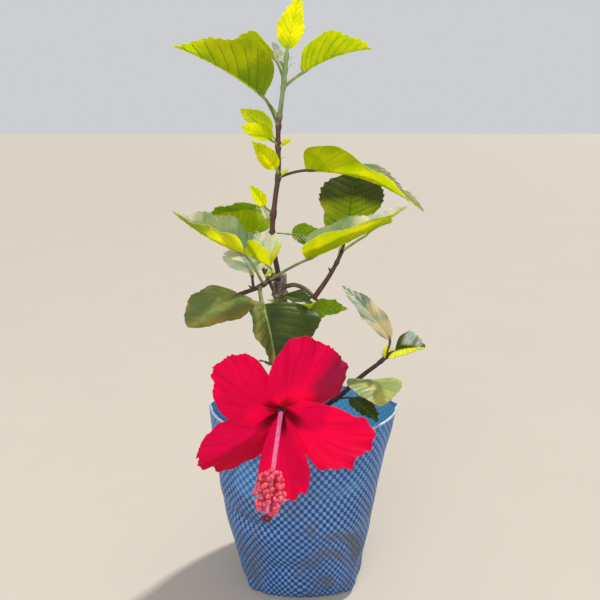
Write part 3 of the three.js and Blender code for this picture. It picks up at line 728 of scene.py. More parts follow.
def add_object(bm, name, finishes):
    """Turns a finished mesh into an object of the scene with its materials."""
    mesh = bpy.data.meshes.new(name)
    bm.to_mesh(mesh)
    bm.free()
    for finish in finishes:
        mesh.materials.append(finish)
    piece = bpy.data.objects.new(name, mesh)
    bpy.context.scene.collection.objects.link(piece)
    return piece


def add_piece(bm, name, finishes, nodes=(), sharp=None):
    """Turns a finished mesh into a piece that rides on the plant and stands for its CAD nodes."""
    bmesh.ops.recalc_face_normals(bm, faces=bm.faces)
    for edge in bm.edges:
        edge.smooth = sharp is None or not edge.is_manifold or edge.calc_face_angle(0) < math.radians(sharp)
    for face in bm.faces:
        face.smooth = True
    piece = add_object(bm, name, finishes)
    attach(piece, "root")
    if nodes:
        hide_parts(*nodes)


# Shader helpers


def node_group(name, inputs, outputs):
    """A shader node group with its named sockets, its input node and its output node."""
    group = bpy.data.node_groups.new(name, "ShaderNodeTree")
    for socket, kind, value in inputs:
        made = group.interface.new_socket(name=socket, in_out="INPUT", socket_type=kind)
        made.default_value = value
    for socket, kind in outputs:
        group.interface.new_socket(name=socket, in_out="OUTPUT", socket_type=kind)
    return group, group.nodes.new("NodeGroupInput"), group.nodes.new("NodeGroupOutput")


def add_node(tree, kind, links=None, **settings):
    """A node with its settings, and its inputs set to a value or joined to a socket."""
    node = tree.nodes.new(kind)
    for setting, value in settings.items():
        setattr(node, setting, value)
    for socket, value in (links or {}).items():
        if isinstance(value, bpy.types.NodeSocket):
            tree.links.new(value, node.inputs[socket])
        else:
            node.inputs[socket].default_value = value
    return node


def math_node(tree, operation, first, second=0.0, clamp=False):
    """The socket of a Math node."""
    links = {0: first, 1: second}
    return add_node(tree, "ShaderNodeMath", links, operation=operation, use_clamp=clamp).outputs[0]


def times(tree, first, second, clamp=False):
    """The socket of a Math node that multiplies."""
    return math_node(tree, "MULTIPLY", first, second, clamp)


def plus(tree, first, second):
    """The socket of a Math node that adds."""
    return math_node(tree, "ADD", first, second)


def mix_colours(tree, share, first, second):
    """The socket of a Mix Color node."""
    node = add_node(tree, "ShaderNodeMix", {"Factor": share}, data_type="RGBA")
    for socket, value in ((6, first), (7, second)):
        if isinstance(value, bpy.types.NodeSocket):
            tree.links.new(value, node.inputs[socket])
        else:
            node.inputs[socket].default_value = (*value[:3], 1)
    return node.outputs[2]


def ramp(tree, value, low, high):
    """A smooth step from 0 at low to 1 at high."""
    return add_node(
        tree, "ShaderNodeMapRange", {"Value": value, "From Min": low, "From Max": high},
        interpolation_type="SMOOTHSTEP").outputs["Result"]


def object_place(tree):
    """The socket with the object's own coordinates."""
    return add_node(tree, "ShaderNodeTexCoord").outputs["Object"]


def split_place(tree, place):
    """The sockets of a place's three coordinates."""
    return add_node(tree, "ShaderNodeSeparateXYZ", {0: place}).outputs


def stretched(tree, place, scale):
    """The socket of a place scaled along its axes."""
    return add_node(tree, "ShaderNodeMapping", {"Vector": place, "Scale": scale}).outputs["Vector"]


def noise_at(tree, place, scale, detail, roughness=0.5):
    """The socket of noise at a place."""
    links = {"Vector": place, "Scale": scale, "Detail": detail, "Roughness": roughness}
    return add_node(tree, "ShaderNodeTexNoise", links).outputs["Fac"]


def object_noise(tree, scale, detail=3.0, stretch=(1, 1, 1)):
    """Noise on the object's own coordinates, drawn out along its axes."""
    return noise_at(tree, stretched(tree, object_place(tree), stretch), scale, detail, 0.6)


def new_material(name, **values):
    """A material, its nodes and its Principled shader, with the shader's plain values set."""
    material = bpy.data.materials.new(name)
    material.use_nodes = True
    tree = material.node_tree
    shader = tree.nodes["Principled BSDF"]
    for socket, value in values.items():
        shader.inputs[socket.replace("_", " ").title().replace("Ior", "IOR")].default_value = value
    return material, tree, shader


def bump(tree, shader, height, distance, strength):
    """Joins a height to the shader's normal."""
    links = {"Height": height, "Distance": distance, "Strength": strength}
    tree.links.new(add_node(tree, "ShaderNodeBump", links).outputs["Normal"], shader.inputs["Normal"])


def let_light_through(tree, shader, share, tint):
    """Mixes the shader with a share of light that comes through from behind, in a tint."""
    glow = add_node(tree, "ShaderNodeBsdfTranslucent", {"Color": tint})
    both = add_node(tree, "ShaderNodeMixShader", {0: share, 1: shader.outputs[0], 2: glow.outputs[0]})
    tree.links.new(both.outputs[0], tree.nodes["Material Output"].inputs["Surface"])


def mottle_group():
    """Uneven colour: a light and a darker shade of one colour in soft patches."""
    group = bpy.data.node_groups.get("mottle")
    if group:
        return group
    group, enter, leave = node_group(
        "mottle",
        [("Light", "NodeSocketColor", (1, 1, 1, 1)), ("Dark", "NodeSocketColor", (0, 0, 0, 1)),
         ("Scale", "NodeSocketFloat", 60.0)],
        [("Color", "NodeSocketColor")],
    )
    patches = noise_at(group, object_place(group), enter.outputs["Scale"], 4.0)
    mixed = mix_colours(group, ramp(group, patches, 0.42, 0.6), enter.outputs["Dark"], enter.outputs["Light"])
    group.links.new(mixed, leave.inputs["Color"])
    return group


def vein_net_group():
    """The fine net of small veins in a blade, as a height and a mask that is 1 on the veins."""
    group = bpy.data.node_groups.get("vein net")
    if group:
        return group
    group, enter, leave = node_group(
        "vein net", [("Scale", "NodeSocketFloat", 420.0)],
        [("Height", "NodeSocketFloat"), ("Mask", "NodeSocketFloat")])
    links = {"Vector": object_place(group), "Scale": enter.outputs["Scale"], "Randomness": 0.9}
    cells = add_node(group, "ShaderNodeTexVoronoi", links, feature="DISTANCE_TO_EDGE").outputs["Distance"]
    rise = ramp(group, cells, 0.0, 0.16)
    group.links.new(rise, leave.inputs["Height"])
    group.links.new(math_node(group, "SUBTRACT", 1.0, rise, clamp=True), leave.inputs["Mask"])
    return group


def weave_group():
    """A plain check weave on a UV map counted in tapes: which tape is on top, and how high it lies."""
    group = bpy.data.node_groups.get("check weave")
    if group:
        return group
    group, enter, leave = node_group(
        "check weave", [("Tapes", "NodeSocketVector", (0, 0, 0))],
        [("Mask", "NodeSocketFloat"), ("Height", "NodeSocketFloat")])
    around, up, _ = split_place(group, enter.outputs["Tapes"])
    crests = [math_node(group, "SINE", times(group, axis, math.pi)) for axis in (around, up)]
    product = times(group, *crests)
    group.links.new(ramp(group, product, -0.06, 0.14), leave.inputs["Mask"])
    pillow = math_node(group, "POWER", math_node(group, "ABSOLUTE", product), 0.4)
    group.links.new(pillow, leave.inputs["Height"])
    return group


def bark_group():
    """Streaks and pores of bark, as a mask that is 1 on the ridges and as a height."""
    group = bpy.data.node_groups.get("bark streaks")
    if group:
        return group
    group, enter, leave = node_group(
        "bark streaks", [("Scale", "NodeSocketFloat", 260.0)],
        [("Mask", "NodeSocketFloat"), ("Height", "NodeSocketFloat")])
    place = object_place(group)
    streaks = noise_at(group, stretched(group, place, (1, 1, 0.16)), enter.outputs["Scale"], 6.0, 0.7)
    links = {"Vector": place, "Scale": times(group, enter.outputs["Scale"], 1.6)}
    pores = add_node(group, "ShaderNodeTexVoronoi", links).outputs["Distance"]
    pored = times(group, ramp(group, streaks, 0.34, 0.66), ramp(group, pores, 0.05, 0.25))
    group.links.new(pored, leave.inputs["Mask"])
    group.links.new(plus(group, streaks, times(group, pored, 0.5)), leave.inputs["Height"])
    return group


def shaded(tint, red, green, blue):
    """A shade of a colour, with a share for each of its parts."""
    return tuple(min(v * share, 1) for v, share in zip(tint, (red, green, blue))) + (1,)


def scaled(tint, share):
    """A lighter or darker shade of a colour."""
    return shaded(tint, share, share, share)


def mottled(tree, light, dark, scale=60.0):
    """The colour socket of a mottle between two shades."""
    links = {"Light": light, "Dark": dark, "Scale": scale}
    return add_node(tree, "ShaderNodeGroup", links, node_tree=mottle_group()).outputs["Color"]


def leaf_material(name, tint, roughness, through):
    """A thin living blade: mottled colour, a net of small veins, and light that comes through it."""
    material, tree, shader = new_material(name, roughness=roughness, specular_ior_level=0.24)
    blotched = mottled(tree, shaded(tint, 1.32, 1.14, 1), shaded(tint, 0.68, 0.83, 0.9))
    net = add_node(tree, "ShaderNodeGroup", {}, node_tree=vein_net_group())
    veined = mix_colours(tree, times(tree, net.outputs["Mask"], 0.36), blotched, scaled(tint, 0.72))
    tree.links.new(veined, shader.inputs["Base Color"])
    bump(tree, shader, net.outputs["Height"], 0.00025, 0.25)
    let_light_through(tree, shader, through, scaled(tint, 1.3))
    return material


def plain_material(name, tint, roughness, variation, scale, relief=0.0002):
    """A finish with mottled colour and a fine grain."""
    material, tree, shader = new_material(name, roughness=roughness)
    blotched = mottled(tree, scaled(tint, 1 + variation / 2), scaled(tint, 1 - variation), scale)
    tree.links.new(blotched, shader.inputs["Base Color"])
    bump(tree, shader, object_noise(tree, scale * 4), relief, 0.5)
    return material


def bark_material(name, ridge, furrow, scale, roughness, above=None, limits=(0, 1)):
    """Bark in ridges and furrows, which may turn into another colour upwards between two heights."""
    material, tree, shader = new_material(name, roughness=roughness)
    streaks = add_node(tree, "ShaderNodeGroup", {"Scale": scale}, node_tree=bark_group())
    tint = mix_colours(tree, streaks.outputs["Mask"], furrow, ridge)
    if above:
        height = split_place(tree, object_place(tree))[2]
        uneven = plus(tree, height, times(tree, object_noise(tree, 90), 0.02))
        green = mix_colours(tree, streaks.outputs["Mask"], scaled(above, 0.8), scaled(above, 1.1))
        tint = mix_colours(tree, ramp(tree, uneven, *limits), tint, green)
    tree.links.new(tint, shader.inputs["Base Color"])
    bump(tree, shader, streaks.outputs["Height"], 0.0004, 0.7)
    return material


# Grow bag and soil


def bag_section(height):
    """Half width, half depths, squareness and shift of the bag at a height, smooth from level to level."""
    heights = [level[0] for level in BAG_LEVELS]
    below = held(bisect_right(heights, height) - 1, 0, len(BAG_LEVELS) - 2)
    rows = [BAG_LEVELS[held(below + step, 0, len(BAG_LEVELS) - 1)] for step in (-1, 0, 1, 2)]
    span = rows[2][0] - rows[1][0]
    share = held((height - rows[1][0]) / span)
    found = []
    for before, low, high, after in list(zip(*rows))[1:]:
        leave = (high - before) / (rows[2][0] - rows[0][0]) * span
        arrive = (after - low) / (rows[3][0] - rows[1][0]) * span
        found.append(smooth_between(low, high, leave, arrive, share))
    return found


def bag_point(height, angle):
    """A point of the bag's outer face, before its folds."""
    half_width, front, back, squareness, shift = bag_section(height)
    half_depth = front if math.sin(angle) < 0 else back
    power = 2 / squareness

    def drawn(value):
        return math.copysign(abs(value) ** power, value)

    return Vector((shift + half_width * drawn(math.cos(angle)), half_depth * drawn(math.sin(angle)), height))


def bag_angles(columns):
    """Angles about the bag's middle that lie evenly along its wall at mid height."""
    fine = 1440
    reach = running_lengths([bag_point(BAG_MIDDLE, TAU * step / fine) for step in range(fine + 1)])
    found = []
    for column in range(columns + 1):
        wanted = reach[-1] * column / columns
        after = held(bisect_right(reach, wanted), 1, fine)
        part = (wanted - reach[after - 1]) / (reach[after] - reach[after - 1])
        found.append(TAU * (after - 1 + part) / fine)
    return found


def hem_lift(angle):
    """The hem isn't level: behind, it stands up on the left and sags on the right."""
    angle %= TAU
    if angle < math.pi:
        return math.sin(angle) * (HEM_RISE_BACK - HEM_SWAY_BACK * math.cos(angle))
    return HEM_SWAY_FRONT * math.sin(3 * angle)


def bag_fold(angle, height, depth):
    """How far the cloth stands out from its plain shape: bulges, wrinkles, side creases, pleats and dents."""
    x, y = math.cos(angle), math.sin(angle)
    bulges = depth * wave(x * 1.5, y * 1.5, height / BULGE_HEIGHT)
    wrinkles = 0.45 * depth * wave(x * 4 + 7, y * 4, height / WRINKLE_HEIGHT + x * 1.5)
    crease = 0.0
    for corner in (0, math.pi):
        off = (angle - corner + math.pi) % TAU - math.pi
        crease += SIDE_CREASE * math.exp(-(off / SIDE_CREASE_SPREAD) ** 2) * (height / BAG_TOP) ** 1.6
    level = (height - FOOT_PLEAT_HEIGHT) / FOOT_PLEAT_HEIGHT
    pleats = FOOT_PLEAT * math.sin(FOOT_PLEATS * angle + 2 * wave(x * 2, y * 2)) * math.exp(-level ** 2)
    dents = sum(
        out * math.exp(-((angle % TAU - middle) / spread) ** 2 - ((height - centre) / rise) ** 2)
        for middle, spread, centre, rise, out in BAG_DENTS)
    return (bulges + wrinkles) * min(1, height / 20 + 0.15) + crease + pleats + dents


def bag_skin(angle, height, inset, depth):
    """A point of the finished wall, with its folds and the hem's rise and fall."""
    share = max(0, (height - HEM_SWAY_FROM) / (BAG_TOP - HEM_SWAY_FROM))
    flat = bag_point(height, angle)
    centre = Vector((bag_section(height)[-1], 0, height))
    outward = (flat - centre).normalized()
    fold = bag_fold(angle, height, depth) if height > 0 else 0
    return flat + outward * (fold - inset) + Vector((0, 0, hem_lift(angle) * share))


def build_bag(settings):
    """The woven bag: up its outside, over the rim, and down its inside to the floor."""
    columns = BAG_COLUMNS
    angles = bag_angles(columns)
    wall = settings.wall / MM
    depth = settings.fold / MM
    tape = settings.tape / MM
    rise = [0.0, 0.5, 1.5, 3.0] + [5 + step * (BAG_TOP - 5) / BAG_ROWS for step in range(BAG_ROWS + 1)]
    floor_shares = [0, 0.25, 0.5, 0.75, 0.92]
    # Each row's height, inset, share of the way out from the middle, and 0 outside or 1 inside
    profile = [(0, 0, share, 0) for share in floor_shares]
    profile += [(height, 0, 1, 0) for height in rise]
    profile += [(height, wall, 1, 1) for height in reversed(rise) if height > wall]
    profile += [(wall, 0, share, 1) for share in reversed(floor_shares)]

    def place(row, column):
        height, inset, share, _ = profile[row]
        spot = bag_skin(angles[column % columns], height, inset, depth)
        return Vector((spot.x * share, spot.y * share, spot.z))

    bm = new_mesh()
    corners = grid(bm, len(profile) - 1, columns, place)
    uv = bm.loops.layers.uv.active
    bm.faces.ensure_lookup_table()
    for number, face in enumerate(bm.faces):
        row, column = divmod(number, columns)
        face.material_index = profile[row][3]
        for loop, (up, over) in zip(face.loops, ((0, 0), (0, 1), (1, 1), (1, 0))):
            height, _, share, _ = profile[row + up]
            along = height - (1 - share) * BAG_FLOOR
            loop[uv].uv = ((column + over) / columns * settings.tapes_around, along / tape)
    weld(bm, corners)
    finishes = [
        weave_material("woven tape outside", settings.light, settings.dark, settings.dirt),
        # The inside wears the brighter inside check: painted light from the sun through the cloth.
        weave_material("woven tape inside", settings.inner, settings.inner_dark, settings.dirt, 0.2, 0.6),
    ]
    add_piece(bm, "grow_bag_cloth", finishes, ["grow_bag"], sharp=60)


def weave_material(name, light, dark, dirt, soiled=1.0, through=0.3):
    """Woven plastic tape in a check of two blues, with a soft gloss, soiled low down and to the right."""
    material, tree, shader = new_material(name, roughness=0.42)
    place = add_node(tree, "ShaderNodeUVMap", uv_map="UVMap").outputs["UV"]
    weave = add_node(tree, "ShaderNodeGroup", {"Tapes": place}, node_tree=weave_group())
    check = mix_colours(tree, weave.outputs["Mask"], dark, light)
    shade = ramp(tree, object_noise(tree, 26, 4), 0.42, 0.6)
    uneven = mix_colours(tree, times(tree, shade, 0.18), check, scaled(dark, 1.5))
    threads = object_noise(tree, 1500, 2, (1, 1, 0.2))
    fibred = mix_colours(tree, times(tree, threads, 0.12), uneven, scaled(light, 0.7))
    sideways, _, height = split_place(tree, object_place(tree))
    low = ramp(tree, height, 0.15, 0.03)
    right = ramp(tree, sideways, -0.03, 0.06)
    smears = ramp(tree, object_noise(tree, 38, 6), 0.47, 0.66)
    place_share = plus(tree, times(tree, low, 0.55), times(tree, right, 0.3))
    smeared = times(tree, times(tree, smears, place_share), soiled, clamp=True)
    tree.links.new(mix_colours(tree, smeared, fibred, dirt), shader.inputs["Base Color"])
    rough = plus(tree, times(tree, smeared, 0.4), 0.36)
    tree.links.new(rough, shader.inputs["Roughness"])
    bump(tree, shader, weave.outputs["Height"], 0.0005, 0.8)
    let_light_through(tree, shader, through, scaled(light, 1.3))
    return material


def build_hem(settings):
    """The white hem: a worn tape folded over the bag's rim."""
    columns = BAG_COLUMNS
    angles = bag_angles(columns)
    wall = settings.wall / MM
    depth = settings.fold / MM
    drop = settings.hem / MM
    section = [
        (-0.35, -drop), (-0.5, -drop / 2), (-0.4, 0.1), (0.05, 0.45), (wall / 2, 0.55), (wall - 0.05, 0.45),
        (wall + 0.4, 0.1), (wall + 0.5, -drop / 2), (wall + 0.35, -drop), (wall / 2, -drop * 0.6)]

    def place(row, column):
        angle = angles[column % columns]
        inset, rise = section[row % len(section)]
        worn = 0.12 * wave(math.cos(angle) * 30, math.sin(angle) * 30, row * 0.7)
        return bag_skin(angle, BAG_TOP, inset - worn, depth) + Vector((0, 0, rise + worn))

    bm = new_mesh()
    weld(bm, grid(bm, len(section), columns, place))
    add_piece(bm, "grow_bag_hem", [plain_material("hem tape", settings.hem_colour, 0.55, 0.3, 500.0)])


def build_soil(settings):
    """The potting soil: crumbly on top, and down inside the bag to its floor."""
    columns = 120
    rows = 34
    angles = bag_angles(columns)
    gap = settings.wall / MM + SOIL_GAP
    depth = settings.fold / MM
    down = [SOIL_TOP - 2, *range(98, 8, -6), 4]
    dice = random.Random("soil")

    def top(share, angle):
        edge = bag_skin(angle, SOIL_TOP, gap, depth)
        x, y = edge.x * share, edge.y * share
        lumps = 2.2 * wave(x / 14, y / 14) + 1.3 * wave(x / 5, y / 5, 3) + 0.7 * wave(x / 2, y / 2, 8)
        lumps += 2.5 * math.exp(-((x + 8) ** 2 + (y - 3) ** 2) / 160)
        return Vector((x, y, SOIL_TOP - 2 + lumps))

    def place(row, column):
        angle = angles[column % columns]
        if row <= rows:
            return top((row / rows) ** 0.8, angle)
        if row <= rows + len(down):
            return bag_skin(angle, down[row - rows - 1], gap, depth)
        return Vector((0, 0, down[-1]))

    bm = new_mesh()
    weld(bm, grid(bm, rows + len(down) + 1, columns, place))
    for _ in range(SOIL_CRUMBS):
        angle = dice.uniform(0, TAU)
        spot = top(dice.uniform(0.1, 1) ** 0.5 * 0.97, angle)
        size = dice.uniform(*CRUMB_RADII)
        spin = dice.uniform(0, TAU)
        turn = Matrix.Rotation(spin, 4, Vector((dice.random(), dice.random(), dice.random() + 0.1)))
        shape = Matrix.Diagonal((size, size * dice.uniform(0.6, 1), size * dice.uniform(0.5, 0.8), 1))
        pip(bm, Matrix.Translation(spot) @ turn @ shape, 6, 4, dice.choice((0, 0, 1)))
    finishes = [
        soil_material("soil", settings.soil, settings.soil_dark),
        soil_material("damp crumb", scaled(settings.soil, 0.7), settings.soil_dark),
    ]
    add_piece(bm, "soil_surface", finishes, ["potting_soil"])


def soil_material(name, tint, damp):
    """Crumbly soil."""
    material, tree, shader = new_material(name, roughness=0.95)
    grains = object_noise(tree, 480, 6)
    tree.links.new(mix_colours(tree, ramp(tree, grains, 0.38, 0.62), damp, tint), shader.inputs["Base Color"])
    bump(tree, shader, grains, 0.0012, 1.0)
    return material


# Trunk, leader and boughs


# The heights in metres between which the leader's bark turns green
SHOOT_TURNS_GREEN = (0.392, 0.412)

# Sides of a limb's mesh, how far a collar reaches along it, and the distance between its ring scars
TRUNK_SIDES = 40
BOUGH_SIDES = 20
COLLAR_REACH = 1.8
SCAR_PITCH = 17


def limb_line(name):
    """The line that a limb follows."""
    return Line(LIMBS[name].path)


def joints_on(name):
    """Shares along a limb where leaves grow."""
    return sorted({leaf.at for leaf in ALL_LEAVES.values() if leaf.limb == name})


def build_limb(name, settings):
    """The mesh of one limb with furrowed bark, a collar at each leaf, ring scars and a rounded tip."""
    limb = LIMBS[name]
    line = limb_line(name)
    foot, tip = limb.radii
    waist = limb.waist or foot
    joints = joints_on(name)
    rings = round(line.length * MM / settings.step)
    sides = TRUNK_SIDES if name == "trunk" else BOUGH_SIDES
    seed = random.Random(name).uniform(0, 50)

    def radius(share, angle):
        spread = max(0, 1 - share / limb.flare) ** 2 if limb.flare else 0
        plain = waist + (tip - waist) * share + (foot - waist) * spread
        x, y, z = math.cos(angle), math.sin(angle), share * line.length
        ridges = wave(x * 2.4 + seed, y * 2.4, z / 26) + 0.6 * wave(x * 6, y * 6 + seed, z / 9)
        lobes = spread * 1.1 * math.sin(4 * angle + 1)
        swelling = sum(math.exp(-(((share - joint) * line.length) / COLLAR_REACH) ** 2) for joint in joints)
        scars = 0.05 * math.exp(-((z + 4 * wave(z / 30, seed)) % SCAR_PITCH - 8) ** 2 / 0.5)
        rounded = math.sqrt(max(0.02, min(1, (1 - share) * line.length / plain)))
        end = 1 if name == "trunk" else rounded
        collar = 1 + settings.collar * min(swelling, 1)
        return (plain + limb.furrow * ridges + lobes + plain * scars) * collar * end

    bm = new_mesh()
    tube(bm, line, rings, sides, radius)
    return bm


def build_limbs(settings):
    """The trunk, the leader and the boughs, each a piece of its own."""
    finishes = {
        "grey_bark": bark_material("grey bark", settings.grey, settings.furrow, 200, 0.75),
        "dark_bark": bark_material("dark bark", settings.dark, scaled(settings.furrow, 0.55), 340, 0.6),
        "red_bark": bark_material("red bark", settings.red, scaled(settings.furrow, 0.6), 340, 0.5),
        "olive_bark": bark_material("olive bark", settings.olive, settings.dark, 340, 0.5),
        "leader_bark": bark_material(
            "leader bark", shaded(settings.dark, 2.1, 1.15, 0.95), settings.furrow, 340, 0.5,
            settings.green, SHOOT_TURNS_GREEN),
    }
    for name, limb in LIMBS.items():
        add_piece(build_limb(name, settings), name + "_bark", [finishes[limb.finish]], [name])


# Leaves


# The mesh of a blade: columns of faces on each half and on the midrib, and the length of a row of faces
BLADE_COLUMNS = 9
RIB_COLUMNS = 2
ROW_HEIGHT = 1.05

# Where side veins end on the margin, how they lean and bow, and their width. A blade up to SMALL_BLADE long
# has few of them, and one from GROWN_BLADE on has its full relief.
SIDE_VEINS = (0.2, 0.33, 0.45, 0.56, 0.66, 0.76, 0.85, 0.93)
FEW_SIDE_VEINS = (0.3, 0.52, 0.72, 0.88)
VEIN_LEAN = 2.1
VEIN_BOW = 1.15
VEIN_WIDTH = 0.5
SMALL_BLADE = 28
GROWN_BLADE = 50

# How deep side veins and the midrib are sunk, and how many waves a half's margin has
VEIN_DEPTH = 0.16
RIB_DEPTH = 0.25
RUFFLES = 2.6

# Where the teeth start along the margin, and the share of a tooth that its long back takes up
TEETH_START = 0.24
TOOTH_BACK = 0.74

# How wide a patch's soft border is along and across a blade, and the steps in which it fades
PATCH_BAND = 0.16
PATCH_SIDE_BAND = 0.2
PATCH_STEPS = 5


def margin_rows(blade):
    """Shares of the margin where rows of corners end, with a narrow strip at each side vein."""
    veins = SIDE_VEINS if blade.length > SMALL_BLADE else FEW_SIDE_VEINS
    count = max(22, round(blade.length / ROW_HEIGHT))
    rows = [(step / count, None) for step in range(count + 1)]
    half = min(VEIN_WIDTH / 2 / blade.length, 0.3 / count)
    for vein in veins:
        nearest = min(range(1, len(rows) - 1), key=lambda index: abs(rows[index][0] - vein))
        rows[nearest:nearest + 1] = [(vein - half, vein), (vein + half, vein)]
    return rows, veins


def along_vein(margin, share):
    """How far along the midrib a place lies, out by share on the way to a share of the margin."""
    foot = margin ** VEIN_LEAN
    return foot + (margin - foot) * share ** VEIN_BOW


def between_veins(share, veins):
    """How far a share lies between the side veins around it, from 0 to 1."""
    marks = [0, *veins, 1]
    after = held(bisect_right(marks, share), 1, len(marks) - 1)
    return (share - marks[after - 1]) / (marks[after] - marks[after - 1])


def tooth_at(share, teeth, dice_row):
    """How far a margin stands out at a share of its length: teeth that point to the tip."""
    if share <= TEETH_START or share >= 1:
        return 0
    run = (share - TEETH_START) / (1 - TEETH_START) * teeth
    part = run % 1
    saw = part / TOOTH_BACK if part < TOOTH_BACK else (1 - part) / (1 - TOOTH_BACK)
    ease = min(1, (share - TEETH_START) / 0.12) * min(1, (1 - share) / 0.06)
    return saw * ease * dice_row[int(run) % len(dice_row)]


def leaf_sheet(bm, name, leaf, settings):
    """The upper side of a leaf's blade, whose rows of faces run along its side veins.

    Returns the finishes above and below that the faces' material indices stand for.
    """
    blade = leaf.blade
    look = LOOKS[leaf.look]
    trim = TRIMS.get(name, Trim())
    dice = random.Random(name)
    rows, veins = margin_rows(blade)
    shape = outline(trim.foot, trim.point)
    teeth = max(4, round(blade.length * 1.15 * MM / settings.tooth_pitch))
    grown = min(1, blade.length / GROWN_BLADE)
    tooth = settings.tooth / MM * (0.35 + 0.65 * grown) * trim.teeth
    tooth_rows = {half: [dice.uniform(0.65, 1.25) for _ in range(teeth + 1)] for half in (1, -1)}
    phases = {half: dice.uniform(0, TAU) for half in (1, -1)}
    ruffle = {half: look.ruffle * grown * dice.uniform(0.7, 1.3) for half in (1, -1)}
    quilt = settings.quilt / MM * grown * (0.5 if look.piece == "old" else 1)
    rib = settings.rib / MM * (0.4 + 0.6 * grown) * trim.rib
    ridge = settings.ridge / MM * (0.4 + 0.6 * grown)
    drop = bm.verts.layers.float.new("drop")
    sag = dice.uniform(-1.2, 1.2) * grown
    columns = 2 * BLADE_COLUMNS + RIB_COLUMNS
    drops = {}

    def place(row, column):
        margin, vein = rows[row]
        middle = columns / 2
        half = 1 if column <= middle else -1
        near, far = trim.left if half > 0 else trim.right
        width = max(shape(margin) * (near + (far - near) * margin) * blade.width / 2, 1e-6)
        rib_share = min(0.4, rib * (1 - 0.75 * margin) / width)
        out = abs(column - middle)
        share = 0 if out == 0 else rib_share + (1 - rib_share) * (out - 1) / BLADE_COLUMNS
        if vein is not None:
            margin = vein + (margin - vein) * (1 - 0.6 * share)
        jag = tooth_at(margin, teeth, tooth_rows[half]) * tooth * share ** 5
        back = trim.lobe * min(1, margin / 0.08) * max(0, 1 - margin / 0.5) ** 1.5
        along = along_vein(margin, share) + (jag * 0.6 / blade.length - back * share ** 1.5)
        fold_out, fold_up = half_section(blade.fold, look.curl, share)
        point, side, face = blade_frame(blade, along)
        across = half * (width * fold_out + jag)
        swell = quilt * math.sin(math.pi * between_veins(margin, veins)) ** 0.8
        swell *= share ** 0.6 * (1.25 - 0.8 * share)
        sunk = -VEIN_DEPTH * grown if vein is not None and share < 0.9 else 0
        groove = -RIB_DEPTH * grown * (1 - margin) if out == 0 else 0
        waves = math.sin(phases[half] + margin * TAU * RUFFLES) * math.sin(math.pi * margin) ** 0.5
        edge = ruffle[half] * share ** 2.5 * waves
        lift = width * fold_up + swell + sunk + groove + edge + sag * margin * (1 - margin) * 2
        keel = ridge * (1 - 0.85 * margin) if out == 0 else 0
        thin = 0.2 * grown * (1 - share) if vein is not None else 0
        drops[row, column] = (keel + thin) * MM * min(1, 6 * (1 - margin) + 0.05)
        return Vector(leaf.foot) + point + side * across + face * lift

    corners = grid(bm, len(rows) - 1, columns, place)
    for number, corner in enumerate(corners):
        corner[drop] = drops[divmod(number, columns + 1)]
    bm.faces.ensure_lookup_table()
    pairs = {}
    for number, face in enumerate(bm.faces):
        row, column = divmod(number, columns)
        pair = face_finishes(name, look, rows, row, column - columns / 2 + 0.5)
        face.material_index = pairs.setdefault(pair, len(pairs))
    weld(bm, corners)
    return list(pairs)


def face_finishes(name, look, rows, row, off):
    """The finishes above and below of a face of a blade, off columns from its midrib."""
    if abs(off) < 1:
        return look.rib_upper, look.rib_under
    share = (abs(off) - 1) / BLADE_COLUMNS
    half = 1 if off < 0 else -1
    on_vein = rows[row][1] is not None and rows[row][1] == rows[row + 1][1] and share < 0.92
    along = along_vein((rows[row][0] + rows[row + 1][0]) / 2, share)
    finishes = [look.upper, look.under]
    vein_finishes = [look.vein_upper, look.vein_under]
    for patch in PATCHES.get(name, ()):
        if patch.half not in (0, half):
            continue
        level = patch_level(patch, along, share, half)
        for side in (0, 1) if patch.under else (0,):
            finishes[side] = blend(finishes[side], patch.finish, level)
            vein_finishes[side] = blend(vein_finishes[side], patch.vein or vein_finishes[side], level)
    return tuple(vein_finishes if on_vein else finishes)


def patch_level(patch, along, share, half):
    """How strong a patch is at a place of a blade, in steps of a fifth from 0 to 1."""
    uneven = along - patch.lean * share + 0.03 * wave(share * 3, half * 4, patch.start)
    uneven += 0.02 * wave(share * 4, half * 9, along * 14)
    level = held((uneven - patch.start) / PATCH_BAND + 0.5) * held((patch.end - uneven) / PATCH_BAND + 0.5)
    if patch.out:
        level *= held((share - patch.out) / PATCH_SIDE_BAND + 0.5)
    return round(level * PATCH_STEPS) / PATCH_STEPS


def blend(first, second, level):
    """The name of a finish between two others, such as green/lime/0.4."""
    if first == second or level == 0:
        return first
    if level == 1:
        return second
    return f"{first.split('/')[0]}/{second}/{level}"


def leaf_blade(name, leaf, settings, finish_names):
    """A whole blade with its upper side, underside and edge, each face in its finish."""
    look = LOOKS[leaf.look]
    bm = new_mesh()
    pairs = leaf_sheet(bm, name, leaf, settings)
    below, edge = thicken(bm, settings.thickness)
    for face in bm.faces:
        upper, under = pairs[face.material_index]
        finish = look.edge if face in edge else under if face in below else upper
        if finish not in finish_names:
            finish_names.append(finish)
        face.material_index = finish_names.index(finish)
    bmesh.ops.recalc_face_normals(bm, faces=bm.faces)
    return bm


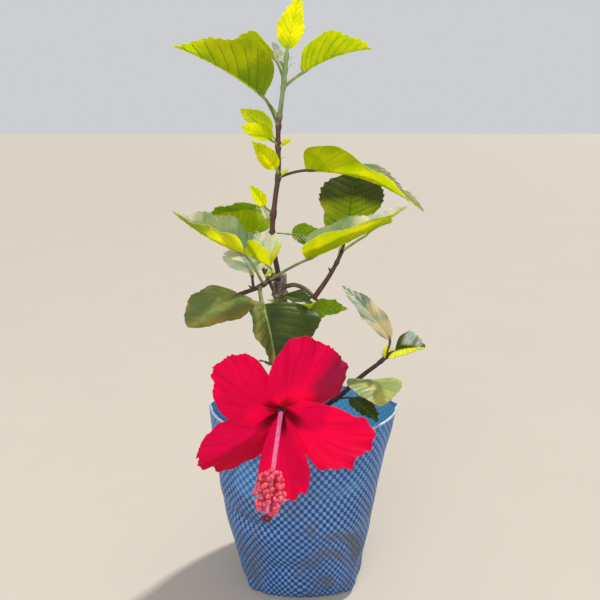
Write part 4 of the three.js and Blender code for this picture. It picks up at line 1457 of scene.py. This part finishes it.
# Each finish's roughness, and the share of light that comes through
LEAF_FINISHES = {
    "pale_yellow": (0.5, 0.55),
    "yellow": (0.5, 0.6),
    "bright": (0.48, 0.6),
    "lime": (0.46, 0.6),
    "lit": (0.46, 0.6),
    "green": (0.38, 0.5),
    "dark_green": (0.34, 0.4),
    "dark": (0.38, 0.3),
    "dull": (0.55, 0.3),
    "shade": (0.45, 0.3),
    "grey": (0.3, 0.3),
    "blue_grey": (0.36, 0.2),
    "white": (0.34, 0.4),
    "silver": (0.45, 0.3),
    "heart": (0.34, 0.3),
    "olive": (0.8, 0.2),
    "fawn": (0.4, 0.3),
    "olive_vein": (0.5, 0.5),
    "dark_vein": (0.45, 0.4),
    "shade_vein": (0.45, 0.3),
    "pale_vein": (0.45, 0.3),
}


def leaf_finish(name, settings):
    """The material of a plain finish, or of one between two others."""
    first, second, level = name.split("/") if "/" in name else (name, name, 0)
    share = float(level)
    tint = [a + (b - a) * share for a, b in zip(getattr(settings, first), getattr(settings, second))]
    values = [a + (b - a) * share for a, b in zip(LEAF_FINISHES[first], LEAF_FINISHES[second])]
    return leaf_material("leaf " + name.replace("_", " ").replace("/", " "), tint, *values)


def build_leaves(settings):
    """The leaves, joined into one piece for each age."""
    names = list(LEAF_FINISHES)
    made = {}
    for piece, slot in (("young", "young_leaf"), ("green", "leaf"), ("old", "old_leaf")):
        joined = new_mesh()
        nodes = []
        for name, leaf in ALL_LEAVES.items():
            if LOOKS[leaf.look].piece != piece:
                continue
            merge(joined, leaf_blade(name, leaf, settings, names), name)
            if name in LEAVES:
                nodes.append(name)
        used = sorted({face.material_index for face in joined.faces})
        for face in joined.faces:
            face.material_index = used.index(face.material_index)
        for index in used:
            if names[index] not in made:
                made[names[index]] = leaf_finish(names[index], settings)
        add_piece(joined, "leaves_" + piece, [made[names[index]] for index in used], nodes, sharp=40)


RED_STALKS = {
    "leaf_long_right", "leaf_round_right", "leaf_drooping_left", "leaf_front_right", "leaf_grey_right",
    "leaf_glossy_right", "leaf_low_right", "leaf_back_low_left", "leaf_back_low_right"}
OLIVE_STALKS = {"leaf_lower_right", "leaf_left", "leaf_upper_left", "leaf_left_pale", "leaf_hanging_front"}


def stalk_line(leaf):
    """The line of a leaf's stalk, from inside its limb to a little way under its blade."""
    foot = Vector(leaf.foot)
    point, _, face = blade_frame(leaf.blade, 0.1)
    start = limb_line(leaf.limb).at(leaf.at)
    before = foot.lerp(start, 0.3) - blade_frame(leaf.blade, 0.03)[0]
    return Line([start, before, foot - face * 0.35, foot + point - face * 0.55])


def build_stalks(settings):
    """The leaves' stalks, thicker at both ends."""
    bm = new_mesh()
    for name, leaf in ALL_LEAVES.items():
        line = stalk_line(leaf)
        grown = 0.28 + 0.72 * min(1, leaf.blade.length / 45)
        plain = settings.stalk / MM * grown * (1.5 if leaf.look == "dark_ribbed" else 1)

        def radius(share, angle):
            foot = 0.4 * math.exp(-(share * line.length / 3) ** 2)
            neck = 0.18 * math.exp(-(((1 - share) * line.length - 5) / 3) ** 2)
            end = min(1, (1 - share) * 8 + 0.15)
            return plain * (0.92 + foot + neck + 0.05 * math.sin(3 * angle)) * end

        finish = 1 if name in RED_STALKS else 2 if name in OLIVE_STALKS else 0
        tube(bm, line, max(10, round(line.length / 1.4)), 10, radius, finish)
    finishes = [
        plain_material("green stalk", settings.stalk_green, 0.45, 0.25, 160),
        plain_material("red stalk", settings.stalk_red, 0.5, 0.35, 120),
        plain_material("olive stalk", settings.stalk_olive, 0.5, 0.35, 120),
    ]
    add_piece(bm, "leaf_stalks", finishes)


# Small growth


# Each one's limb and the share along it, which way it points, its size, and its finish: 0 for a stipule,
# 1 for a green bud and 2 for a dark one
Sprout = namedtuple("Sprout", "limb at heading rise length radius finish")

SPROUTS = [
    Sprout("leader", 0.955, -28, 26, 8, 0.6, 0),
    Sprout("leader", 0.925, -30, 24, 8, 0.6, 0),
    Sprout("leader", 0.965, 150, 62, 7, 0.65, 0),
    Sprout("leader", 0.95, 165, 50, 9, 0.6, 0),
    Sprout("leader", 0.86, -10, 60, 3.6, 0.8, 1),
    Sprout("leader", 0.70, 30, 55, 4.5, 0.5, 1),
    Sprout("leader", 0.71, 170, 70, 3.2, 0.9, 1),
    Sprout("leader", 0.60, -35, 34, 6.4, 0.55, 0),
    Sprout("leader", 0.55, -20, 20, 5, 0.5, 0),
    Sprout("leader", 0.49, -30, 36, 8, 0.55, 0),
    Sprout("leader", 0.475, 100, 50, 3.4, 0.9, 1),
    Sprout("leader", 0.31, 20, 60, 3.2, 0.9, 1),
    Sprout("leader", 0.24, 150, 50, 3.0, 0.8, 1),
    Sprout("bough_left", 0.45, 120, 60, 3.0, 0.9, 2),
    Sprout("bough_left", 0.8, -160, 40, 4.0, 0.7, 2),
    Sprout("bough_left", 0.98, 170, -10, 4.6, 0.9, 2),
    Sprout("bough_right", 0.97, -20, -30, 3.4, 1.1, 2),
    Sprout("bough_right_upright", 0.45, 160, 50, 3.0, 0.8, 2),
    Sprout("bough_right_upright", 0.97, -10, 70, 4.0, 0.7, 1),
    Sprout("bough_low_right", 0.62, 150, 60, 3.4, 1.0, 2),
    Sprout("bough_low_right", 0.92, 130, 62, 5.2, 0.55, 0),
    Sprout("bough_low_right", 0.99, 30, 55, 4.4, 0.9, 1),
    Sprout("bough_back", 0.55, 30, 50, 3.0, 0.9, 2),
    Sprout("bough_back", 0.97, 60, 60, 4.0, 0.7, 1),
]


def build_growth(settings):
    """Stipules, buds and spent shoots at the joints of the limbs."""
    bm = new_mesh()
    for number, sprout in enumerate(SPROUTS):
        dice = random.Random(number)
        start = limb_line(sprout.limb).at(sprout.at)
        heading, rise = math.radians(sprout.heading), math.radians(sprout.rise)
        level = math.cos(rise)
        ahead = Vector((math.cos(heading) * level, math.sin(heading) * level, math.sin(rise)))
        bend = Vector((dice.uniform(-1, 1), dice.uniform(-1, 1), 0.6)) * 0.12
        reach = sprout.length + 1.5
        line = Line([start, start + (ahead + bend) * reach * 0.5, start + ahead * reach])
        swell = 0.9 if sprout.finish else 0.2

        def radius(share, angle):
            belly = 1 + swell * math.sin(math.pi * share)
            return sprout.radius * belly * max(0.06, 1 - share) ** 0.6

        tube(bm, line, 12, 8, radius, sprout.finish)
    finishes = [
        plain_material("stipule", settings.stipule, 0.5, 0.2, 200),
        plain_material("bud", settings.lime, 0.45, 0.3, 220),
        plain_material("dark bud", settings.stalk_red, 0.6, 0.4, 220),
    ]
    add_piece(bm, "small_growth", finishes)


# Bloom


def bloom_matrix():
    """Turns the bloom's own frame, with Z along its axis, into place."""
    axis = Vector(BLOOM_AXIS).normalized()
    up = axis.cross(Vector((1, 0, 0))).normalized()
    across = up.cross(axis)
    turn = Matrix((across, up, axis)).transposed().to_4x4()
    return Matrix.Translation(Vector(BLOOM_THROAT)) @ turn


# A petal's narrow foot as a share of its length, its notches and veins, the waves of its frill, and its mesh
PETAL_START = 0.12
PETAL_NOTCHES = 23
PETAL_VEINS = 17
FRILL_WAVES = (17, 31)
PETAL_ROWS = 60
PETAL_COLUMNS = 84


def petal_sheet(bm, petal, settings):
    """The inner side of a petal: a fan of veins from the throat to a frilled margin."""
    blade = petal.blade
    shapes = {-1: outline(*petal.right), 1: outline(*petal.left)}
    frill = settings.frill / MM
    notch = settings.notch / MM
    furrow = settings.furrow / MM
    turn = bloom_matrix()
    dice = random.Random(blade.heading)
    lobes = [dice.uniform(0.3, 1.4) for _ in range(2 * PETAL_NOTCHES + 1)]

    def place(row, column):
        share = row / PETAL_ROWS
        fan = 2 * column / PETAL_COLUMNS - 1
        half = -1 if fan > 0 else 1
        tip = 1 - (1 - PETAL_START) * abs(fan) ** 2.8
        wide = shapes[half](tip) * blade.width / 2
        distal = max(0, 1 - abs(fan) ** 4)
        notches = (fan + 1) * PETAL_NOTCHES
        jag = lobes[int(notches)] * abs(math.sin(math.pi * notches)) ** 0.7
        reach = share * (1 - notch * (1 - jag * 0.8) * distal * share ** 6 / blade.length)
        along = tip * reach
        out = min(1, wide * reach ** 1.2 / (blade.width / 2))
        point, side, face = blade_frame(blade, along)
        fold, curl = (
            (petal.right_fold, petal.right_curl) if half < 0 else (petal.left_fold, petal.left_curl))
        fold_out, fold_up = half_section(fold, curl, out)
        edge = share ** 7
        ripples = frill * edge * distal * (
            math.sin(fan * FRILL_WAVES[0] + petal.phase)
            + 0.7 * math.sin(fan * FRILL_WAVES[1] + 2.1 * petal.phase))
        crests = 0.5 + 0.5 * math.cos(fan * math.pi * PETAL_VEINS)
        veins = -furrow * crests * min(1, share * 4) * (1 - 0.4 * edge)
        soft = 1.2 * wave(fan * 2.2 + petal.phase * 3, share * 2.4, petal.phase) * share
        lift = fold_up * blade.width / 2 + ripples + veins + soft
        spot = point + side * (half * fold_out * blade.width / 2) + face * lift
        return turn @ spot

    weld(bm, grid(bm, PETAL_ROWS, PETAL_COLUMNS, place))


def build_petals(settings):
    """The five petals and the short tube that they share."""
    joined = new_mesh()
    for petal in PETALS:
        bm = new_mesh()
        petal_sheet(bm, petal, settings)
        thicken(bm, settings.thickness)
        bmesh.ops.recalc_face_normals(bm, faces=bm.faces)
        for face in bm.faces:
            face.material_index = petal.finish
        merge(joined, bm, "petal")
    turn = bloom_matrix()
    line = Line([turn @ Vector((0, 0, reach)) for reach in (-6, 0, 2)])
    tube(joined, line, 8, 24, lambda share, angle: 3 + 0.4 * share + 0.2 * math.sin(5 * angle), 1)
    finishes = [
        petal_material("petal", settings),
        plain_material("throat", settings.throat, 0.5, 0.3, 200),
        # Painted shade and a pink sheen on the upper petal's turned-back part.
        petal_material("petal turned back shade", settings, settings.turned_back_shade, (0.5, 0.62), (0.4, 0.6)),
        # Painted shade on one half of the low left petal.
        petal_material("petal folded shade", settings, settings.folded, (0.56, 0.4), (0.2, 0.5)),
    ]
    add_piece(joined, "bloom_petal_skin", finishes, ["bloom_petals"], sharp=70)


def petal_material(name, settings, other=None, sides=(0, 1), reaches=(0, 1)):
    """Velvety crimson with darker veins and a maroon throat that runs out along them.

    Another tint may take over across the petal between two sides, and along it between two reaches.
    """
    material, tree, shader = new_material(
        name, roughness=0.6, specular_ior_level=0.12, sheen_weight=0.5, sheen_roughness=0.4,
        sheen_tint=(1, 0.12, 0.32, 1))
    place = add_node(tree, "ShaderNodeUVMap", uv_map="UVMap").outputs["UV"]
    across, along, _ = split_place(tree, place)
    streaks = noise_at(tree, stretched(tree, place, (46, 2.2, 1)), 1.0, 5.0)
    veins = times(tree, ramp(tree, streaks, 0.44, 0.66), 0.36)
    open_part = mix_colours(tree, veins, settings.petal, settings.vein)
    if other:
        share = times(tree, ramp(tree, across, *sides), ramp(tree, along, *reaches))
        open_part = mix_colours(tree, share, open_part, other)
    reach = plus(tree, along, times(tree, math_node(tree, "SUBTRACT", streaks, 0.5), 0.22))
    whole = mix_colours(tree, ramp(tree, reach, 0.15, 0.33), settings.throat, open_part)
    tree.links.new(whole, shader.inputs["Base Color"])
    bump(tree, shader, streaks, 0.0005, 0.45)
    let_light_through(tree, shader, 0.5, open_part)
    return material


def column_point(reach):
    """A point of the column's middle line in the bloom's own frame: it hangs down towards its end."""
    bend = (reach / COLUMN_REACH[1]) ** 2
    return Vector((COLUMN_BEND[0] * bend, COLUMN_BEND[1] * bend, reach))


def build_column(settings):
    """The column with its stamens, and the five pads of the stigma at its end."""
    turn = bloom_matrix()
    start, end = COLUMN_REACH
    foot, tip = COLUMN_RADII
    line = Line([turn @ column_point(start + (end - start) * step / 6) for step in range(7)])
    bm = new_mesh()

    def shaft(share, angle):
        rounded = math.sqrt(max(0.03, min(1, (1 - share) * line.length / tip)))
        return (foot + (tip - foot) * share ** 0.7 + 0.12 * math.sin(5 * angle)) * rounded

    tube(bm, line, 60, 18, shaft, 0)
    dice = random.Random("stamens")
    first, last = ANTHER_REACH
    for number in range(settings.anthers):
        share = (number + 0.5) / settings.anthers
        reach = first + (last - first) * share
        angle = number * GOLDEN_ANGLE + dice.uniform(-0.3, 0.3)
        spread = ANTHER_SPREAD * math.sin(math.pi * (0.12 + 0.76 * share)) ** 0.6 * dice.uniform(0.55, 1.0)
        out = level_heading(angle)
        root = column_point(reach - 3)
        head = column_point(reach) + out * spread + Vector((0, 0, dice.uniform(0.5, 3.0)))
        bent = (root + head) / 2 + out * spread * 0.22 - Vector((0, 0, 0.8))
        thread = Line([turn @ root, turn @ bent, turn @ head])
        tube(bm, thread, 4, 5, lambda share, angle: 0.34 - 0.1 * share, 1)
        twist = Matrix.Rotation(dice.uniform(0, TAU), 4, Vector((dice.random(), dice.random(), 1)))
        size = dice.uniform(0.95, 1.35)
        shape = Matrix.Diagonal((1.5 * size, 1.2 * size, 1.05 * size, 1))
        pip(bm, turn @ Matrix.Translation(head) @ twist @ shape, 8, 6, 2 if number % 4 else 3)
    stigma = column_point(end)
    for number in range(5):
        angle = TAU * number / 5 + 0.4
        out = level_heading(angle)
        pad = stigma + out * 2.2 + Vector((0, -0.6, 2.4))
        points = (stigma - Vector((0, 0, 2)), stigma + out * 0.8 + Vector((0, 0, 0.6)), pad)
        tube(bm, Line([turn @ point for point in points]), 5, 8, lambda share, angle: 0.6, 1)
        pip(bm, turn @ Matrix.Translation(pad) @ Matrix.Diagonal((1.25, 1.25, 0.95, 1)), 12, 8, 4)
    finishes = [
        plain_material("column", settings.column, 0.45, 0.2, 260),
        plain_material("filament", settings.filament, 0.5, 0.2, 260),
        plain_material("anther", settings.anther, 0.7, 0.35, 700, 0.0005),
        plain_material("pale anther", scaled(settings.anther, 1.35), 0.7, 0.35, 700, 0.0005),
        plain_material("stigma", settings.stigma, 0.6, 0.4, 900, 0.0006),
    ]
    add_piece(bm, "bloom_column_stamens", finishes, ["bloom_column"])


def build_calyx(settings):
    """The green calyx with its five points, the narrow leaves around it, and the bloom's stalk."""
    turn = bloom_matrix()
    rows, columns = 26, 80
    base, belly, mouth = CALYX_RADII
    bm = new_mesh()

    def place(row, column):
        angle = TAU * column / columns
        share = row / rows
        lobe = abs(math.cos(2.5 * angle)) ** 1.5
        reach = -CALYX_LENGTH + share * (CALYX_LENGTH - 9 + 8.5 * lobe)
        level = (reach + CALYX_LENGTH) / CALYX_LENGTH
        if level < 0.5:
            radius = base + (belly - base) * math.sin(math.pi * level)
        else:
            radius = mouth + (belly - mouth) * math.sin(math.pi * min(level, 1))
        radius += 0.3 * math.cos(10 * angle) * share + 0.9 * share ** 6
        if row == 0:
            radius = 0
        return turn @ Vector((radius * math.cos(angle), radius * math.sin(angle), reach))

    weld(bm, grid(bm, rows, columns, place))
    bmesh.ops.recalc_face_normals(bm, faces=bm.faces)
    thicken(bm, 0.5 * MM)

    def bract_radius(share, angle):
        return (0.95 - 0.2 * math.cos(2 * angle)) * max(0.08, 1 - share) ** 0.55

    low = Vector((0, 0, 1.5 - CALYX_LENGTH))
    for number in range(CALYX_BRACTS):
        angle = TAU * number / CALYX_BRACTS
        out = level_heading(angle)
        points = (low + out * 2, low + out * 6.5 + Vector((0, 0, 3)), low + out * 9.5 + Vector((0, 0, 9)))
        tube(bm, Line([turn @ point for point in points]), 10, 8, bract_radius)
    stalk = Line([*STALK_PATH, turn @ low])

    def stalk_radius(share, angle):
        joint = 0.3 * math.exp(-((share - 0.72) / 0.02) ** 2)
        top = 1.1 * max(0, (share - 0.86) / 0.14) ** 2
        return STALK_RADIUS * (1 + joint + top + 0.3 * math.exp(-(share / 0.05) ** 2))

    tube(bm, stalk, 64, 14, stalk_radius, 1)
    finishes = [
        leaf_material("calyx", settings.calyx, 0.5, 0.2),
        plain_material("bloom stalk", scaled(settings.calyx, 0.85), 0.5, 0.3, 180),
    ]
    add_piece(bm, "bloom_calyx", finishes, ["bloom_stalk"], sharp=60)


# Stage


# Where each light stands and what it is aimed at, in metres, and its tint
KEY_LIGHT = ((0.6, 0.62, 1.3), (0, 0, 0.25), (1, 0.97, 0.9))
FILL_LIGHT = ((-0.35, -1.1, 1.0), (0, -0.05, 0.22), (1, 0.99, 0.97))
FILL_SIZE = 0.9
FLOOR_SIZE = 40


def add_lamp(name, kind, energy, place, target, tint):
    """A lamp of some kind, aimed at a target."""
    lamp = bpy.data.lights.new(name, kind)
    lamp.energy = energy
    lamp.color = tint
    piece = bpy.data.objects.new(name, lamp)
    bpy.context.scene.collection.objects.link(piece)
    piece.location = place
    piece.rotation_euler = (Vector(target) - Vector(place)).to_track_quat("-Z", "Y").to_euler()
    return lamp


def build_stage(settings):
    """The floor, the soft light and the camera."""
    scene = bpy.context.scene
    bm = new_mesh()
    bmesh.ops.create_grid(bm, x_segments=1, y_segments=1, size=FLOOR_SIZE)
    material, tree, shader = new_material("floor", roughness=0.9)
    shades = scaled(settings.floor, 0.96), scaled(settings.floor, 1.02)
    tree.links.new(mix_colours(tree, object_noise(tree, 6, 4), *shades), shader.inputs["Base Color"])
    floor = add_object(bm, "floor", [material])

    world = bpy.data.worlds.new("soft sky")
    world.use_nodes = True
    sky = world.node_tree.nodes["Background"]
    sky.inputs["Color"].default_value = (*settings.sky, 1)
    sky.inputs["Strength"].default_value = settings.sky_strength
    scene.world = world
    key = add_lamp("key", "SUN", settings.key, *KEY_LIGHT)
    key.angle = settings.key_width
    fill = add_lamp("fill", "AREA", settings.fill, *FILL_LIGHT)
    fill.size = FILL_SIZE

    camera = bpy.data.objects.new("camera", bpy.data.cameras.new("camera"))
    camera.data.sensor_width = 36
    camera.data.lens = settings.lens
    camera.data.clip_start = 0.01
    camera.data.dof.use_dof = False
    camera.location = settings.camera
    camera.rotation_euler = (math.radians(90) - settings.pitch, 0, 0)
    scene.collection.objects.link(camera)
    scene.camera = camera
    scene.view_settings.view_transform = "Standard"


# Operators


class HIBISCUS_OT_grow_bag(bpy.types.Operator):
    """Model the woven grow bag with its folds and its white hem"""

    bl_idname = "hibiscus.grow_bag"
    bl_label = "Grow Bag"
    bl_options = {"REGISTER", "UNDO"}

    def execute(self, context):
        build_bag(context.scene.hibiscus_bag)
        build_hem(context.scene.hibiscus_bag)
        return {"FINISHED"}


class HIBISCUS_OT_soil(bpy.types.Operator):
    """Model the potting soil with its crumbs"""

    bl_idname = "hibiscus.soil"
    bl_label = "Potting Soil"
    bl_options = {"REGISTER", "UNDO"}

    def execute(self, context):
        build_soil(context.scene.hibiscus_bag)
        return {"FINISHED"}


class HIBISCUS_OT_limbs(bpy.types.Operator):
    """Model the trunk, the leader and the boughs with their bark"""

    bl_idname = "hibiscus.limbs"
    bl_label = "Trunk and Boughs"
    bl_options = {"REGISTER", "UNDO"}

    def execute(self, context):
        build_limbs(context.scene.hibiscus_bark)
        return {"FINISHED"}


class HIBISCUS_OT_leaves(bpy.types.Operator):
    """Model the leaves, joined by age"""

    bl_idname = "hibiscus.leaves"
    bl_label = "Leaves"
    bl_options = {"REGISTER", "UNDO"}

    def execute(self, context):
        build_leaves(context.scene.hibiscus_leaf)
        return {"FINISHED"}


class HIBISCUS_OT_stalks(bpy.types.Operator):
    """Model the leaves' stalks"""

    bl_idname = "hibiscus.stalks"
    bl_label = "Leaf Stalks"
    bl_options = {"REGISTER", "UNDO"}

    def execute(self, context):
        build_stalks(context.scene.hibiscus_leaf)
        return {"FINISHED"}


class HIBISCUS_OT_growth(bpy.types.Operator):
    """Model the stipules, buds and spent shoots"""

    bl_idname = "hibiscus.growth"
    bl_label = "Small Growth"
    bl_options = {"REGISTER", "UNDO"}

    def execute(self, context):
        build_growth(context.scene.hibiscus_leaf)
        return {"FINISHED"}


class HIBISCUS_OT_petals(bpy.types.Operator):
    """Model the bloom's petals"""

    bl_idname = "hibiscus.petals"
    bl_label = "Petals"
    bl_options = {"REGISTER", "UNDO"}

    def execute(self, context):
        build_petals(context.scene.hibiscus_bloom)
        return {"FINISHED"}


class HIBISCUS_OT_column(bpy.types.Operator):
    """Model the bloom's column with its stamens and stigma"""

    bl_idname = "hibiscus.column"
    bl_label = "Column and Stamens"
    bl_options = {"REGISTER", "UNDO"}

    def execute(self, context):
        build_column(context.scene.hibiscus_bloom)
        return {"FINISHED"}


class HIBISCUS_OT_calyx(bpy.types.Operator):
    """Model the bloom's calyx and stalk"""

    bl_idname = "hibiscus.calyx"
    bl_label = "Calyx and Stalk"
    bl_options = {"REGISTER", "UNDO"}

    def execute(self, context):
        build_calyx(context.scene.hibiscus_bloom)
        return {"FINISHED"}


class HIBISCUS_OT_stage(bpy.types.Operator):
    """Set up the floor, the lights and the camera"""

    bl_idname = "hibiscus.stage"
    bl_label = "Stage"
    bl_options = {"REGISTER", "UNDO"}

    def execute(self, context):
        build_stage(context.scene.hibiscus_stage)
        return {"FINISHED"}


OPERATORS = (
    HIBISCUS_OT_grow_bag,
    HIBISCUS_OT_soil,
    HIBISCUS_OT_limbs,
    HIBISCUS_OT_leaves,
    HIBISCUS_OT_stalks,
    HIBISCUS_OT_growth,
    HIBISCUS_OT_petals,
    HIBISCUS_OT_column,
    HIBISCUS_OT_calyx,
    HIBISCUS_OT_stage,
)


class HIBISCUS_PT_panel(bpy.types.Panel):
    """Lists the plant's pieces and their settings"""

    bl_idname = "HIBISCUS_PT_panel"
    bl_label = "Hibiscus"
    bl_space_type = "VIEW_3D"
    bl_region_type = "UI"
    bl_category = "Hibiscus"

    def draw(self, context):
        for operator in OPERATORS:
            self.layout.operator(operator.bl_idname)
        for name, group in SETTINGS.items():
            box = self.layout.box()
            for setting in group.__annotations__:
                box.prop(getattr(context.scene, name), setting)


def register():
    for group in SETTINGS.values():
        bpy.utils.register_class(group)
    for operator in OPERATORS:
        bpy.utils.register_class(operator)
    bpy.utils.register_class(HIBISCUS_PT_panel)
    for name, group in SETTINGS.items():
        setattr(bpy.types.Scene, name, PointerProperty(type=group))


def unregister():
    for name in SETTINGS:
        delattr(bpy.types.Scene, name)
    bpy.utils.unregister_class(HIBISCUS_PT_panel)
    for operator in reversed(OPERATORS):
        bpy.utils.unregister_class(operator)
    for group in SETTINGS.values():
        bpy.utils.unregister_class(group)


def main():
    """Models everything in order."""
    register()
    bpy.ops.hibiscus.grow_bag()
    bpy.ops.hibiscus.soil()
    bpy.ops.hibiscus.limbs()
    bpy.ops.hibiscus.leaves()
    bpy.ops.hibiscus.stalks()
    bpy.ops.hibiscus.growth()
    bpy.ops.hibiscus.petals()
    bpy.ops.hibiscus.column()
    bpy.ops.hibiscus.calyx()
    bpy.ops.hibiscus.stage()


if __name__ == "__main__":
    main()
